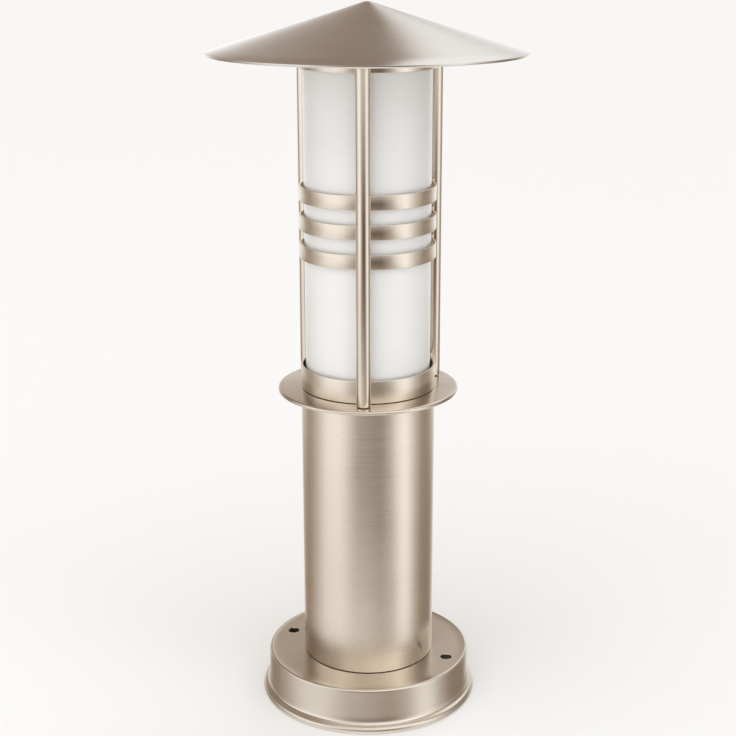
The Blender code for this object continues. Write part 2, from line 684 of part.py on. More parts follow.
def holder_contact(body):
    """The sprung tongue under the bulb's centre contact."""
    sheet = 0.4 * MM
    width = 4.0 * MM
    foot = HOLDER_FLOOR_TOP + GAP + sheet / 2
    crest = BULB_BOTTOM - GAP - sheet / 2
    path = [(-9.5 * MM, foot), (-5 * MM, foot), (-1.5 * MM, crest), (2.5 * MM, crest), (4.5 * MM, crest - MM)]
    contact = strip("holder_contact", path, width, sheet, BRASS, body)
    contact.rotation_euler = (0, 0, math.pi / 2)


# Bulb


def bulb_contact(body):
    """The solder button under the insulator."""
    top = BULB_BOTTOM + 0.9 * MM
    radius = 4.6 * MM
    flat = 2.5 * MM
    profile = [
        (0, top), (radius, top), (radius - 0.4 * MM, BULB_BOTTOM + 0.3 * MM), (flat, BULB_BOTTOM),
        (0, BULB_BOTTOM),
    ]
    turned("bulb_contact", profile, NICKEL, body, MEDIUM_STEPS, closed=False)


def bulb_insulator(body):
    """The glass cone between the cap and the contact."""
    bottom = BULB_BOTTOM + 1.2 * MM
    top = bottom + 2.4 * MM
    wide = 10.0 * MM
    narrow = 5.4 * MM
    profile = [(0, top), (wide, top), (narrow, bottom), (0, bottom)]
    turned("bulb_insulator", profile, BLACK_GLASS, body, MEDIUM_STEPS, closed=False)


def bulb_cap(body):
    """The E27 cap: a thin shell that tapers in to the insulator."""
    shoulder = BULB_BOTTOM + 6.4 * MM
    bottom = BULB_BOTTOM + 3.7 * MM
    inner = BULB_CAP_RADIUS - BULB_CAP_WALL
    end = 11.4 * MM
    profile = [
        (BULB_CAP_RADIUS, BULB_CAP_TOP), (BULB_CAP_RADIUS, shoulder), (end, bottom),
        (end - BULB_CAP_WALL, bottom + GAP), (inner, shoulder + GAP), (inner, BULB_CAP_TOP),
    ]
    turned("bulb_cap", profile, NICKEL, body, MEDIUM_STEPS)


def bulb_globe(body):
    """The blown globe: a thin shell, open at the neck inside the cap."""
    neck_start = -54
    profile = [
        *arc(0, BULB_CENTRE, BULB_GLOBE_RADIUS, 90, neck_start, 8),
        (BULB_NECK_RADIUS + 0.3 * MM, BULB_CAP_TOP + 4.6 * MM),
        (BULB_NECK_RADIUS, BULB_CAP_TOP + 1.5 * MM),
        (BULB_NECK_RADIUS, BULB_CAP_TOP - 9 * MM),
    ]
    turned("bulb_globe", profile, OPAL_GLASS, body, MEDIUM_STEPS, closed=False, wall=BULB_GLASS)


# Head


def roof_height(radius):
    """The height of the cone's outer face."""
    return ROOF_TIP - radius * math.tan(ROOF_SLOPE)


def roof_underside(radius):
    return roof_height(radius) - ROOF_SHEET / math.cos(ROOF_SLOPE)


def roof_cone(body):
    """The conical roof: a straight slope with a rounded crown."""
    crown_z = ROOF_TIP - ROOF_CROWN_RADIUS / math.cos(ROOF_SLOPE)
    crown = arc(0, crown_z, ROOF_CROWN_RADIUS, 90, 90 - math.degrees(ROOF_SLOPE), 3)
    middle = ROOF_RADIUS / 2
    profile = [*crown, (middle, roof_height(middle)), (ROOF_RADIUS, roof_height(ROOF_RADIUS))]
    profile[0] = (0, profile[0][1])
    turned("roof_cone", profile, STEEL, body, closed=False, wall=ROOF_SHEET)


def roof_plate(body):
    """The flat plate inside the cone that the rods are screwed to."""
    top = ROOF_PLATE_BOTTOM + ROOF_PLATE_THICKNESS
    radius = (roof_underside(0) - top - 2 * GAP) / math.tan(ROOF_SLOPE)
    hole = STUD_RADIUS + 0.4 * MM
    plate = turned("roof_plate", ring(hole, radius, ROOF_PLATE_BOTTOM, top), STEEL, body)
    for number, angle in enumerate(ROD_ANGLES, 1):
        x, y = polar(ROD_CIRCLE, angle)
        through(plate, CLEARANCE_HOLE, x, y, ROOF_PLATE_BOTTOM, top)
        screw(f"rod_top_screw_{number}", x, y, top + GAP, ROD_TOP_SCREW_LENGTH, body)


def roof_stud(body):
    """The stud welded inside the crown, and the nut that holds the plate up to the cone."""
    flange_radius = 7.0 * MM
    top = roof_underside(flange_radius) - GAP
    flange_bottom = top - 1.6 * MM
    bottom = ROOF_PLATE_BOTTOM - 8 * MM
    profile = [
        (0, top), (flange_radius, top), (flange_radius, flange_bottom), (STUD_RADIUS, flange_bottom),
        (STUD_RADIUS, bottom + 0.6 * MM), (STUD_RADIUS - 0.6 * MM, bottom), (0, bottom),
    ]
    turned("roof_stud", profile, PLATED, body, SMALL_STEPS, closed=False)
    height = 5.0 * MM
    corner_radius = 5.8 * MM
    nut_bottom = ROOF_PLATE_BOTTOM - GAP - height
    nut = add_piece("roof_nut", cylinder_mesh("roof_nut", corner_radius, height, 6), SCREW_STEEL, body)
    nut.location = (0, 0, nut_bottom)
    through(nut, STUD_RADIUS + GAP, 0, 0, nut_bottom, nut_bottom + height)


def cage_rings(body):
    """The two collars and the three bands, all of one diameter."""
    rings = {
        "lower_collar": (CAGE_BOTTOM, LOWER_COLLAR_TOP),
        "top_collar": (TOP_COLLAR_BOTTOM, CAGE_TOP),
    }
    for name, centre in BAND_CENTRES.items():
        rings[name] = (centre - BAND_HEIGHT / 2, centre + BAND_HEIGHT / 2)
    for name, (bottom, top) in rings.items():
        turned(name, ring(RING_RADIUS - SHEET, RING_RADIUS, bottom, top), STEEL, body)


def rods(body):
    """Three rods with a tapped bore in each end."""
    top = CAGE_TOP
    bottom = CAGE_BOTTOM
    edge = ROD_RADIUS - ROD_CHAMFER
    profile = [
        (0, top - ROD_BORE_DEPTH), (TAPPED_HOLE, top - ROD_BORE_DEPTH), (TAPPED_HOLE, top),
        (edge, top), (ROD_RADIUS, top - ROD_CHAMFER), (ROD_RADIUS, bottom + ROD_CHAMFER),
        (edge, bottom), (TAPPED_HOLE, bottom), (TAPPED_HOLE, bottom + ROD_BORE_DEPTH),
        (0, bottom + ROD_BORE_DEPTH),
    ]
    for number, angle in enumerate(ROD_ANGLES, 1):
        rod = turned(f"rod_{number}", profile, STEEL, body, ROD_STEPS, closed=False)
        rod.location = (*polar(ROD_CIRCLE, angle), 0)


def diffuser(body):
    """The opal cylinder between its two gaskets."""
    bottom = SEAT_BOTTOM + SEAT_GASKET_THICKNESS + GAP
    gasket_bottom = CAGE_TOP - TOP_GASKET_THICKNESS
    top = gasket_bottom - GAP
    turned("diffuser", ring(DIFFUSER_RADIUS - DIFFUSER_WALL, DIFFUSER_RADIUS, bottom, top), OPAL, body)
    turned("top_gasket", ring(TOP_GASKET_BORE, GASKET_RADIUS, gasket_bottom, CAGE_TOP), RUBBER, body)


def pedestal(body):
    base_cup(body)
    post_tube(body)
    foot_flange(body)
    head_flange(body)
    ledge_disc(body)
    seat_gasket(body)
    cable_grommet(body)
    terminal_block(body)
    terminal_ways(body)
    leads(body)
    earth_tag(body)
    holder_bracket(body)
    lamp_holder(body)
    holder_shell(body)
    holder_contact(body)


def head(body):
    roof_cone(body)
    roof_plate(body)
    roof_stud(body)
    cage_rings(body)
    rods(body)
    diffuser(body)


def bulb(rise, turn):
    bulb_contact(rise)
    bulb_insulator(turn)
    bulb_cap(turn)
    bulb_globe(turn)


clear_scene()
parts = new_collection("bollard_light")
cutters = new_collection("cutters")
pedestal_body = add_body("pedestal")
head_body = add_body("head", pedestal_body)
bulb_rise_body = add_body("bulb_rise", pedestal_body)
bulb_body = add_body("bulb", bulb_rise_body)
pedestal(pedestal_body)
head(head_body)
bulb(bulb_rise_body, bulb_body)
shade(parts)
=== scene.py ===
"""Looks of the bollard light: a stainless steel pedestal lantern with an opal cylinder in a cage.

Every length is in metres, and every piece stands where the CAD frame has it, on the post's vertical axis.
"""

import json
import math

import bmesh
import bpy
from mathutils import Matrix, Vector


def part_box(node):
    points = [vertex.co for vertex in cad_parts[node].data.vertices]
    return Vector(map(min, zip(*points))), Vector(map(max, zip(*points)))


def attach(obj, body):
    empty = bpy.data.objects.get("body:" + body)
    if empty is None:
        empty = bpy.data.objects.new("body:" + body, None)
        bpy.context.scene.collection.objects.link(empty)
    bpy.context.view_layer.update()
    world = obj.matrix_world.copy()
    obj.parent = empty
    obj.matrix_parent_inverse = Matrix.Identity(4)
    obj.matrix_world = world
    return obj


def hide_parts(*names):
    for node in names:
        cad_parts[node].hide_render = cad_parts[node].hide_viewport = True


MM = 0.001
ROUND = 192             # facets round the post, the base, the roof and the rings
FINE = 96               # facets round the lamp holder and the bulb
MEDIUM = 128            # facets round the gaskets, the flanges and the bulb's globe
ROD_ROUND = 48
SCREW_ROUND = 40
ON_AXIS = 1e-7          # a profile point nearer than this to the axis lies on it

# Base
SHEET = 1.2 * MM        # steel sheet and tube wall
BASE_RIM_RADIUS = 59.1 * MM
BASE_RIM_HEIGHT = 0.4 * MM
BASE_RIM_ROLL = 1.2 * MM
BASE_BEAD_RADIUS = 2.1 * MM
# Places in the base cup's profile, in mm: (in from the rim, up from the top), (out from the rim, height)
# and (in from the foot, height)
BASE_TOP_RISE = ((6.5, 0.0), (5.2, 0.02), (4.0, 0.07), (2.9, 0.16))
BASE_WALL = (
    (0.0, 23.4), (0.05, 20), (0.12, 16), (0.24, 12), (0.32, 9), (0.42, 7),
    (0.6, 5.9), (0.95, 5.1), (1.5, 4.5),
)
BASE_FOOT = ((0.05, 1.5), (0.18, 0.9), (0.32, 0.4), (0.5, 0.0))
FIXING_HOLE_RADIUS = 3.25 * MM
FIXING_HOLE_CIRCLE = 49 * MM
FIXING_HOLE_ANGLES = (-17.5, 162.5)
GROMMET_HOLE = 9 * MM
GROMMET_Y = -12 * MM
BLOCK_SCREW_HOLE = 1.3 * MM
BLOCK_SCREW_PLACE = (4.5 * MM, 12 * MM)

# Rods and screws
ROD_ANGLES = (-90.0, 30.0, 150.0)
ROD_CIRCLE = 42.3 * MM
ROD_BORE_DEPTH = 14 * MM
FOOT_SCREW_CIRCLE = 31.5 * MM
CLEARANCE_HOLE = 2.3 * MM
TAPPED_HOLE = 2.25 * MM
SCREW_SHANK = 1.95 * MM
BLOCK_SCREW_SHANK = 1.0 * MM
SCREW_CROWN = 2.4 / 3.5         # a pan head's height over its radius
STUD_RADIUS = 2.85 * MM
STUD_FLANGE = 1.6 * MM

# Ledge, roof and opal cylinder
WIRE_HOLE = 8.0 * MM
ROOF_SHEET = 1.5 * MM
ROOF_SLOPE = math.radians(16.8)
ROOF_TIP = 402.2 * MM           # where the cone's sides would meet
ROOF_CROWN_RADIUS = 10 * MM
ROOF_LIP = 0.62 * MM
ROOF_RADII = (6, 12, 20, 35, 50, 65, 78)        # mm
PLATE_BORE = 3.25 * MM
DIFFUSER_WALL = 2.5 * MM

# Holder and bulb
BULB_PITCH = 3.629 * MM         # E27
THREAD_WALL = 0.45 * MM
THREAD_DEPTH = 0.42 * MM
ROW_STEP = 0.3 * MM             # between the rows of a thread's mesh
HOLDER_FOOT = 19.0 * MM
HOLDER_STEP = 24 * MM
HOLDER_FLOOR = 14 * MM
HOLDER_CAVITY = 14.6 * MM
HOLDER_ROUNDING = 1.2 * MM
BULB_NECK = 12.1 * MM
BULB_GLASS = 0.8 * MM
GLOBE_END = 47                  # degrees below the globe's middle, where the neck begins

# Camera
CAMERA_PLACE = (0.0469, -0.8131, 0.4421)
CAMERA_TARGET_HEIGHT = 0.1984
CAMERA_ROLL = -0.1
LENS = 72.97
SENSOR = 36.0


# Profiles


def polar(radius, degrees):
    angle = math.radians(degrees)
    return radius * math.cos(angle), radius * math.sin(angle)


LEDGE_SCREW_PLACES = [(26 * MM, 0), (-26 * MM, 0), polar(26.5 * MM, 135)]


def on_rods(circle):
    """Places on a circle at the rods' angles."""
    return [polar(circle, angle) for angle in ROD_ANGLES]


def middle_of(low, high):
    """The (x, y) middle of a box."""
    return (low.x + high.x) / 2, (low.y + high.y) / 2


def arc(centre, radius, start, end, steps):
    """Profile points (r, z) on an arc, from one angle to another in degrees."""
    points = []
    for step in range(steps + 1):
        angle = math.radians(start + (end - start) * step / steps)
        points.append((centre[0] + radius * math.cos(angle), centre[1] + radius * math.sin(angle)))
    return points


def fillet(points, radius, steps=3):
    """A closed profile with each of its corners rounded, as far as its sides leave room."""
    rounded = []
    count = len(points)
    nearly_straight = math.radians(165)
    longest_reach = 0.45            # of a side
    for index in range(count):
        corner = Vector(points[index])
        before = Vector(points[index - 1]) - corner
        after = Vector(points[(index + 1) % count]) - corner
        if min(corner.x, before.length, after.length) < ON_AXIS or before.angle(after) > nearly_straight:
            rounded.append(tuple(corner))
            continue
        shorter = min(before.length, after.length)
        reach = min(radius / math.tan(before.angle(after) / 2), longest_reach * shorter)
        start = corner + before.normalized() * reach
        end = corner + after.normalized() * reach
        for step in range(steps + 1):
            t = step / steps
            point = (1 - t) ** 2 * start + 2 * t * (1 - t) * corner + t ** 2 * end
            rounded.append(tuple(point))
    return rounded


def ring(inner, outer, bottom, top):
    """The profile of a plain ring."""
    return [(outer, top), (outer, bottom), (inner, bottom), (inner, top)]


def offset(points, distance):
    """An open profile moved to its inner side by the thickness of a sheet."""
    moved = []
    for index, point in enumerate(points):
        here = Vector(point)
        before = Vector(points[max(index - 1, 0)])
        after = Vector(points[min(index + 1, len(points) - 1)])
        along = (after - before).normalized()
        if index in (0, len(points) - 1):
            turn = 1.0
        else:
            turn = max(0.5, math.cos((here - before).angle(after - here) / 2))
        side = Vector((-along.y, along.x))
        moved.append(tuple(here - side * distance / turn))
    return moved


# Meshes


def new_piece(name, mesh, finish, body, replaced=()):
    """One visible piece, riding on a body and standing for its CAD nodes."""
    piece = bpy.data.objects.new(name, mesh)
    bpy.context.scene.collection.objects.link(piece)
    mesh.materials.clear()
    mesh.materials.append(finish)
    if replaced:
        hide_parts(*replaced)
    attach(piece, body)
    return piece


def smooth(mesh, degrees=34):
    """Smooth shading, with the edges above an angle kept sharp."""
    mesh.shade_smooth()
    mesh.set_sharp_from_angle(angle=math.radians(degrees))
    return mesh


def mesh_of(shape, name):
    """A mesh with the faces of a bmesh, which is freed."""
    mesh = bpy.data.meshes.new(name)
    shape.to_mesh(mesh)
    shape.free()
    return mesh


def lathe(name, profile, steps=ROUND, centre=(0.0, 0.0)):
    """A closed turned mesh. The profile is a closed loop, or runs from the axis to the axis."""
    shape = bmesh.new()
    columns = []
    for radius, height in profile:
        if radius < ON_AXIS:
            columns.append([shape.verts.new((centre[0], centre[1], height))] * steps)
            continue
        turns = [2 * math.pi * step / steps for step in range(steps)]
        columns.append([
            shape.verts.new((
                centre[0] + radius * math.cos(turn), centre[1] + radius * math.sin(turn), height,
            ))
            for turn in turns
        ])
    on_axis = profile[0][0] < ON_AXIS and profile[-1][0] < ON_AXIS
    pairs = list(zip(columns, columns[1:]))
    if not on_axis:
        pairs.append((columns[-1], columns[0]))
    for upper, lower in pairs:
        for step in range(steps):
            after = (step + 1) % steps
            corners = []
            for vert in (upper[step], lower[step], lower[after], upper[after]):
                if vert not in corners:
                    corners.append(vert)
            if len(corners) > 2:
                shape.faces.new(corners)
    bmesh.ops.recalc_face_normals(shape, faces=shape.faces)
    return smooth(mesh_of(shape, name))


def helper(name, mesh):
    """An object that is only there while a modifier is worked out."""
    made = bpy.data.objects.new(name, mesh)
    bpy.context.scene.collection.objects.link(made)
    return made


def modified(work, *others):
    """The helper's mesh with its modifiers applied. The helpers are deleted."""
    bpy.context.view_layer.update()
    graph = bpy.context.evaluated_depsgraph_get()
    result = bpy.data.meshes.new_from_object(work.evaluated_get(graph))
    result.name = work.data.name
    for obj in (work, *others):
        bpy.data.objects.remove(obj)
    return result


def cut_holes(mesh, cutters):
    """A mesh with each cutter mesh taken out of it."""
    work = helper("work", mesh)
    shapes = []
    for cutter in cutters:
        shape = helper("cutter", cutter)
        shapes.append(shape)
        boolean = work.modifiers.new("Cut", "BOOLEAN")
        boolean.operation = "DIFFERENCE"
        boolean.solver = "EXACT"
        boolean.object = shape
    return smooth(modified(work, *shapes))


def hole_cutter(radius, x, y, bottom, top, bevel=0.0, steps=40):
    """A round cutter on the vertical through (x, y), flared at its top for a broken edge."""
    profile = [(0, bottom - MM), (radius, bottom - MM), (radius, top - bevel)]
    if bevel:
        profile.append((radius + bevel, top))
        profile.append((radius + bevel, top + MM))
    else:
        profile.append((radius, top + MM))
    profile.append((0, top + MM))
    return lathe("cutter", profile, steps, (x, y))


# Shader nodes


def node(tree, kind, inputs=None, **settings):
    """One shader node. A socket given as an input is linked, and a plain value is set."""
    made = tree.nodes.new(kind)
    for key, value in settings.items():
        setattr(made, key, value)
    for key, value in (inputs or {}).items():
        if isinstance(value, bpy.types.NodeSocket):
            tree.links.new(value, made.inputs[key])
        else:
            made.inputs[key].default_value = value
    return made


def math_node(tree, operation, first, second=0.0, third=0.0):
    return node(tree, "ShaderNodeMath", {0: first, 1: second, 2: third}, operation=operation).outputs[0]


def mix(tree, factor, first, second):
    """A colour between two others."""
    colour_a, colour_b = 6, 7
    return node(tree, "ShaderNodeMix", {"Factor": factor, colour_a: first, colour_b: second},
                data_type="RGBA").outputs[2]


def ramp(tree, factor, stops):
    """A colour ramp with (position, colour) stops."""
    made = node(tree, "ShaderNodeValToRGB", {"Fac": factor})
    band = made.color_ramp
    while len(band.elements) > 1:
        band.elements.remove(band.elements[-1])
    for index, (place, colour) in enumerate(stops):
        if index:
            stop = band.elements.new(place)
        else:
            stop = band.elements[0]
            stop.position = place
        stop.color = (*colour, 1.0)
    return made.outputs["Color"]


def new_material(name):
    """A material, its node tree and its Principled shader."""
    made = bpy.data.materials.new(name)
    made.use_nodes = True
    tree = made.node_tree
    return made, tree, tree.nodes["Principled BSDF"]


def set_inputs(tree, shader, **values):
    """Sets or links the shader's inputs, named with underscores for spaces."""
    for key, value in values.items():
        socket = shader.inputs[key.replace("_", " ")]
        if isinstance(value, bpy.types.NodeSocket):
            tree.links.new(value, socket)
        else:
            socket.default_value = value


def noise(tree, vector, scale, detail=3.0, roughness=0.5):
    found = node(tree, "ShaderNodeTexNoise", {
        "Vector": vector, "Scale": scale, "Detail": detail, "Roughness": roughness,
    })
    return found.outputs["Fac"]


def between(tree, value, low, high):
    """A value from 0 to 1 spread between two numbers."""
    return node(tree, "ShaderNodeMapRange", {"Value": value, "To Min": low, "To Max": high}).outputs["Result"]


def blend(tree, first, share, second):
    """Two values added, the first one's share and the rest of the second."""
    rest = math_node(tree, "MULTIPLY", second, round(1 - share, 3))
    return math_node(tree, "MULTIPLY_ADD", first, share, rest)


def object_point(tree):
    return node(tree, "ShaderNodeTexCoord").outputs["Object"]


def brushed_steel(name, tones, roughness, anisotropy, along_slope=True, depth=0.3):
    """Warm stainless steel, brushed in fine lines round the vertical axis.

    The lines are spaced by height, or on cones, discs and cups by height and radius together."""
    across = 2600.0         # noise cells a metre across the lines
    along = 14.0
    cloud_scale = 34.0
    lines_share = 0.55
    made, tree, shader = new_material(name)
    point = object_point(tree)
    parts = node(tree, "ShaderNodeSeparateXYZ", {"Vector": point}).outputs
    height = parts["Z"]
    if along_slope:
        square = math_node(tree, "ADD", math_node(tree, "POWER", parts["X"], 2.0),
                           math_node(tree, "POWER", parts["Y"], 2.0))
        height = math_node(tree, "ADD", parts["Z"], math_node(tree, "SQRT", square))
    line_point = node(tree, "ShaderNodeCombineXYZ", {
        "X": math_node(tree, "MULTIPLY", parts["X"], along),
        "Y": math_node(tree, "MULTIPLY", parts["Y"], along),
        "Z": math_node(tree, "MULTIPLY", height, across),
    }).outputs[0]
    lines = noise(tree, line_point, 1.0, 4.0, 0.62)
    cloud = noise(tree, point, cloud_scale, 3.0, 0.55)
    mixed = blend(tree, lines, lines_share, cloud)
    colour = ramp(tree, mixed, [(0.34, tones[0]), (0.66, tones[1])])
    rough = between(tree, mixed, 0.7 * roughness, 1.3 * roughness)
    bump = node(tree, "ShaderNodeBump", {"Strength": depth, "Distance": 0.00003, "Height": lines})
    tangent = node(tree, "ShaderNodeTangent", direction_type="RADIAL", axis="Z")
    set_inputs(tree, shader, Base_Color=colour, Metallic=1.0, Roughness=rough, Anisotropic=anisotropy,
               Anisotropic_Rotation=0.25, Normal=bump.outputs[0], Tangent=tangent.outputs[0])
    return made


def opal_acrylic():
    """Glossy white acrylic, faintly cloudy and a little uneven from the extruder."""
    made, tree, shader = new_material("opal_acrylic_finish")
    point = object_point(tree)
    cloud = noise(tree, point, 22.0, 3.0, 0.5)
    colour = ramp(tree, cloud, [(0.3, (0.75, 0.743, 0.725)), (0.7, (0.785, 0.778, 0.76))])
    drawn = node(tree, "ShaderNodeMapping", {"Vector": point, "Scale": (220.0, 220.0, 9.0)}).outputs[0]
    streaks = noise(tree, drawn, 1.0, 2.0, 0.5)
    rough = between(tree, streaks, 0.10, 0.20)
    bump = node(tree, "ShaderNodeBump", {"Strength": 0.12, "Distance": 0.00008, "Height": streaks})
    set_inputs(tree, shader, Base_Color=colour, Roughness=rough, Normal=bump.outputs[0], IOR=1.49,
               Subsurface_Weight=0.25, Subsurface_Radius=(0.004, 0.004, 0.0036), Subsurface_Scale=1.0)
    return made


def plated(name, tones, roughness, spangle=420.0, bump_depth=0.25):
    """A plated or plain metal with a fine crystal mottle and handling marks."""
    made, tree, shader = new_material(name)
    point = object_point(tree)
    cells = node(tree, "ShaderNodeTexVoronoi", {"Vector": point, "Scale": spangle}).outputs["Distance"]
    marks = noise(tree, point, 160.0, 5.0, 0.7)
    mixed = blend(tree, cells, 0.4, marks)
    colour = ramp(tree, mixed, [(0.25, tones[0]), (0.62, tones[1])])
    rough = between(tree, marks, roughness - 0.08, roughness + 0.08)
    bump = node(tree, "ShaderNodeBump", {"Strength": bump_depth, "Distance": 0.00004, "Height": mixed})
    set_inputs(tree, shader, Base_Color=colour, Metallic=1.0, Roughness=rough, Normal=bump.outputs[0])
    return made


def moulded(name, tones, roughness, scale, depth, coat=0.0):
    """A moulded or glazed piece: a fine surface texture over slow changes of tone."""
    made, tree, shader = new_material(name)
    point = object_point(tree)
    fine = noise(tree, point, scale, 3.0, 0.6)
    slow = noise(tree, point, 60.0, 3.0, 0.5)
    mixed = blend(tree, fine, 0.4, slow)
    colour = ramp(tree, mixed, [(0.3, tones[0]), (0.7, tones[1])])
    rough = between(tree, fine, roughness - 0.06, roughness + 0.06)
    bump = node(tree, "ShaderNodeBump", {"Strength": depth, "Distance": 0.00005, "Height": fine})
    set_inputs(tree, shader, Base_Color=colour, Roughness=rough, Coat_Weight=coat, Coat_Roughness=0.08,
               Normal=bump.outputs[0])
    return made


def striped_lead(name, first, second):
    """A two-colour sheath: long stripes on opposite sides that wind slowly round the lead."""
    made, tree, shader = new_material(name)
    point = object_point(tree)
    turned = node(tree, "ShaderNodeMapping", {"Vector": point, "Rotation": (0.0, 0.0, 0.5)}).outputs[0]
    wave = node(tree, "ShaderNodeTexWave", {"Vector": turned, "Scale": 70.0, "Distortion": 0.6},
                bands_direction="DIAGONAL").outputs["Fac"]
    colour = ramp(tree, wave, [(0.46, first), (0.54, second)])
    rough = between(tree, noise(tree, point, 500.0), 0.36, 0.5)
    set_inputs(tree, shader, Base_Color=colour, Roughness=rough)
    return made


# The finishes

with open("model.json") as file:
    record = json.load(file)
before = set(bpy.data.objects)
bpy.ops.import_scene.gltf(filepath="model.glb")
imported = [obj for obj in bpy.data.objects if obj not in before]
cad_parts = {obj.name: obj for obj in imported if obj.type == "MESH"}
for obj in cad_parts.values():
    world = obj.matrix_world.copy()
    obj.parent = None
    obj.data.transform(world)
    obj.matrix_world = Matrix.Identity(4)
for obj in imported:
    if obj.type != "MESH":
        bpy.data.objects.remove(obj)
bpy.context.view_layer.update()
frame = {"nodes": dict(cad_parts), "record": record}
NODES = frame["nodes"]

WARM = ((0.75, 0.665, 0.56), (0.81, 0.725, 0.62))
SPUN = ((0.68, 0.60, 0.505), (0.74, 0.66, 0.565))
STEEL_TUBE = brushed_steel("brushed_steel_tube", WARM, 0.26, 0.75, along_slope=False)
STEEL_BAND = brushed_steel("brushed_steel_band", WARM, 0.16, 0.5, along_slope=False)
STEEL_COLLAR = brushed_steel("brushed_steel_collar", WARM, 0.24, 0.75, along_slope=False)
STEEL_SPUN = brushed_steel("brushed_steel_spun", SPUN, 0.17, 0.6)
ROOF = ((0.67, 0.625, 0.57), (0.73, 0.685, 0.63))
STEEL_BASE = brushed_steel("brushed_steel_base", SPUN, 0.25, 0.3)
STEEL_ROOF = brushed_steel("brushed_steel_roof", ROOF, 0.16, 0.8)
STEEL_ROD = brushed_steel("brushed_steel_rod", WARM, 0.12, 0.5, along_slope=False, depth=0.3)
OPAL = opal_acrylic()
ZINC = plated("zinc_plate_finish", ((0.55, 0.56, 0.57), (0.68, 0.69, 0.70)), 0.36)
SCREW = plated("screw_steel_finish", ((0.50, 0.49, 0.46), (0.64, 0.62, 0.59)), 0.28, 700.0, 0.15)
NICKEL = plated("nickel_plate_finish", ((0.66, 0.64, 0.60), (0.76, 0.74, 0.70)), 0.24, 600.0, 0.12)
BRASS = plated("brass_finish", ((0.68, 0.50, 0.22), (0.80, 0.62, 0.31)), 0.28, 500.0, 0.18)
RUBBER = moulded("black_rubber_finish", ((0.018, 0.018, 0.018), (0.04, 0.04, 0.04)), 0.66, 1400.0, 0.5)
PORCELAIN = moulded("porcelain_finish", ((0.84, 0.83, 0.79), (0.90, 0.89, 0.86)), 0.22, 300.0, 0.08, coat=0.4)
GLASS = moulded("bulb_glass_finish", ((0.88, 0.88, 0.86), (0.93, 0.93, 0.91)), 0.14, 200.0, 0.04, coat=0.5)
VITRITE = moulded("insulator_glass_finish", ((0.012, 0.012, 0.02), (0.03, 0.03, 0.045)), 0.15, 400.0, 0.1)
POLYAMIDE = moulded("terminal_plastic_finish", ((0.80, 0.79, 0.73), (0.87, 0.86, 0.81)), 0.42, 1600.0, 0.35)
BROWN = moulded("lead_brown_finish", ((0.17, 0.07, 0.03), (0.23, 0.10, 0.045)), 0.42, 1200.0, 0.2)
BLUE = moulded("lead_blue_finish", ((0.03, 0.11, 0.42), (0.05, 0.15, 0.52)), 0.42, 1200.0, 0.2)
EARTH = striped_lead("lead_green_yellow_finish", (0.05, 0.30, 0.06), (0.80, 0.66, 0.05))

SLOT_FINISHES = {
    "brushed_steel": STEEL_SPUN, "zinc_plated_steel": ZINC, "screw_steel": SCREW, "opal_acrylic": OPAL,
    "black_rubber": RUBBER, "porcelain": PORCELAIN, "brass": BRASS, "nickel_plate": NICKEL,
    "bulb_glass": GLASS, "insulator_glass": VITRITE, "terminal_plastic": POLYAMIDE,
    "lead_brown": BROWN, "lead_blue": BLUE, "lead_green_yellow": EARTH,
}


def finish_cad_nodes():
    """Gives each CAD node the finish of its slot in the record."""
    slots = {part["node"]: part["material_slot"] for part in frame["record"]["subparts"]}
    for name, obj in NODES.items():
        for material_slot in obj.material_slots:
            material_slot.material = SLOT_FINISHES[slots[name]]


# Pieces


def base_cup():
    """The spun cup: a rolled rim, a wall that flares to a beaded foot, and its holes."""
    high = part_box("base_cup")[1]
    foot = high.x
    rim = BASE_RIM_RADIUS
    roll = BASE_RIM_ROLL
    bead = BASE_BEAD_RADIUS
    top = high.z - BASE_RIM_HEIGHT
    outer = [
        (0, top), (30 * MM, top), (45 * MM, top),
        *[(rim - inward * MM, top + up * MM) for inward, up in BASE_TOP_RISE],
        *arc((rim - roll, high.z - roll), roll, 110, 0, 10),
        *[(rim + outward * MM, height * MM) for outward, height in BASE_WALL],
        *arc((foot - bead, bead), bead, 75, 0, 12),
        *[(foot - inward * MM, height * MM) for inward, height in BASE_FOOT],
    ]
    inner = [(x, z) for x, z in offset(outer, SHEET) if z > 1.0 * MM]
    inner[0] = (0, top - SHEET)
    inner_foot = foot - 0.3 * MM - SHEET
    end = [(inner_foot + 0.2 * MM, 0.0), (inner_foot, 0.25 * MM)]
    mesh = lathe("base_cup_spun", outer + end + inner[::-1])
    under = top - SHEET
    cutters = [
        hole_cutter(FIXING_HOLE_RADIUS, *polar(FIXING_HOLE_CIRCLE, angle), under, top, 0.25 * MM)
        for angle in FIXING_HOLE_ANGLES
    ]
    cutters += [hole_cutter(CLEARANCE_HOLE, x, y, under, top) for x, y in on_rods(FOOT_SCREW_CIRCLE)]
    cutters.append(hole_cutter(GROMMET_HOLE, 0, GROMMET_Y, under, top, steps=64))
    cutters.append(hole_cutter(BLOCK_SCREW_HOLE, *BLOCK_SCREW_PLACE, under, top))
    mesh = cut_holes(mesh, cutters)
    new_piece("base_cup_spun", mesh, STEEL_BASE, "pedestal", ["base_cup"])


def ring_piece(node_name, finish, body):
    """A plain ring of the node's own size, with softened edges."""
    low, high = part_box(node_name)
    profile = fillet(ring(high.x - SHEET, high.x, low.z, high.z), 0.25 * MM)
    name = f"{node_name}_ring"
    new_piece(name, lathe(name, profile), finish, body, [node_name])


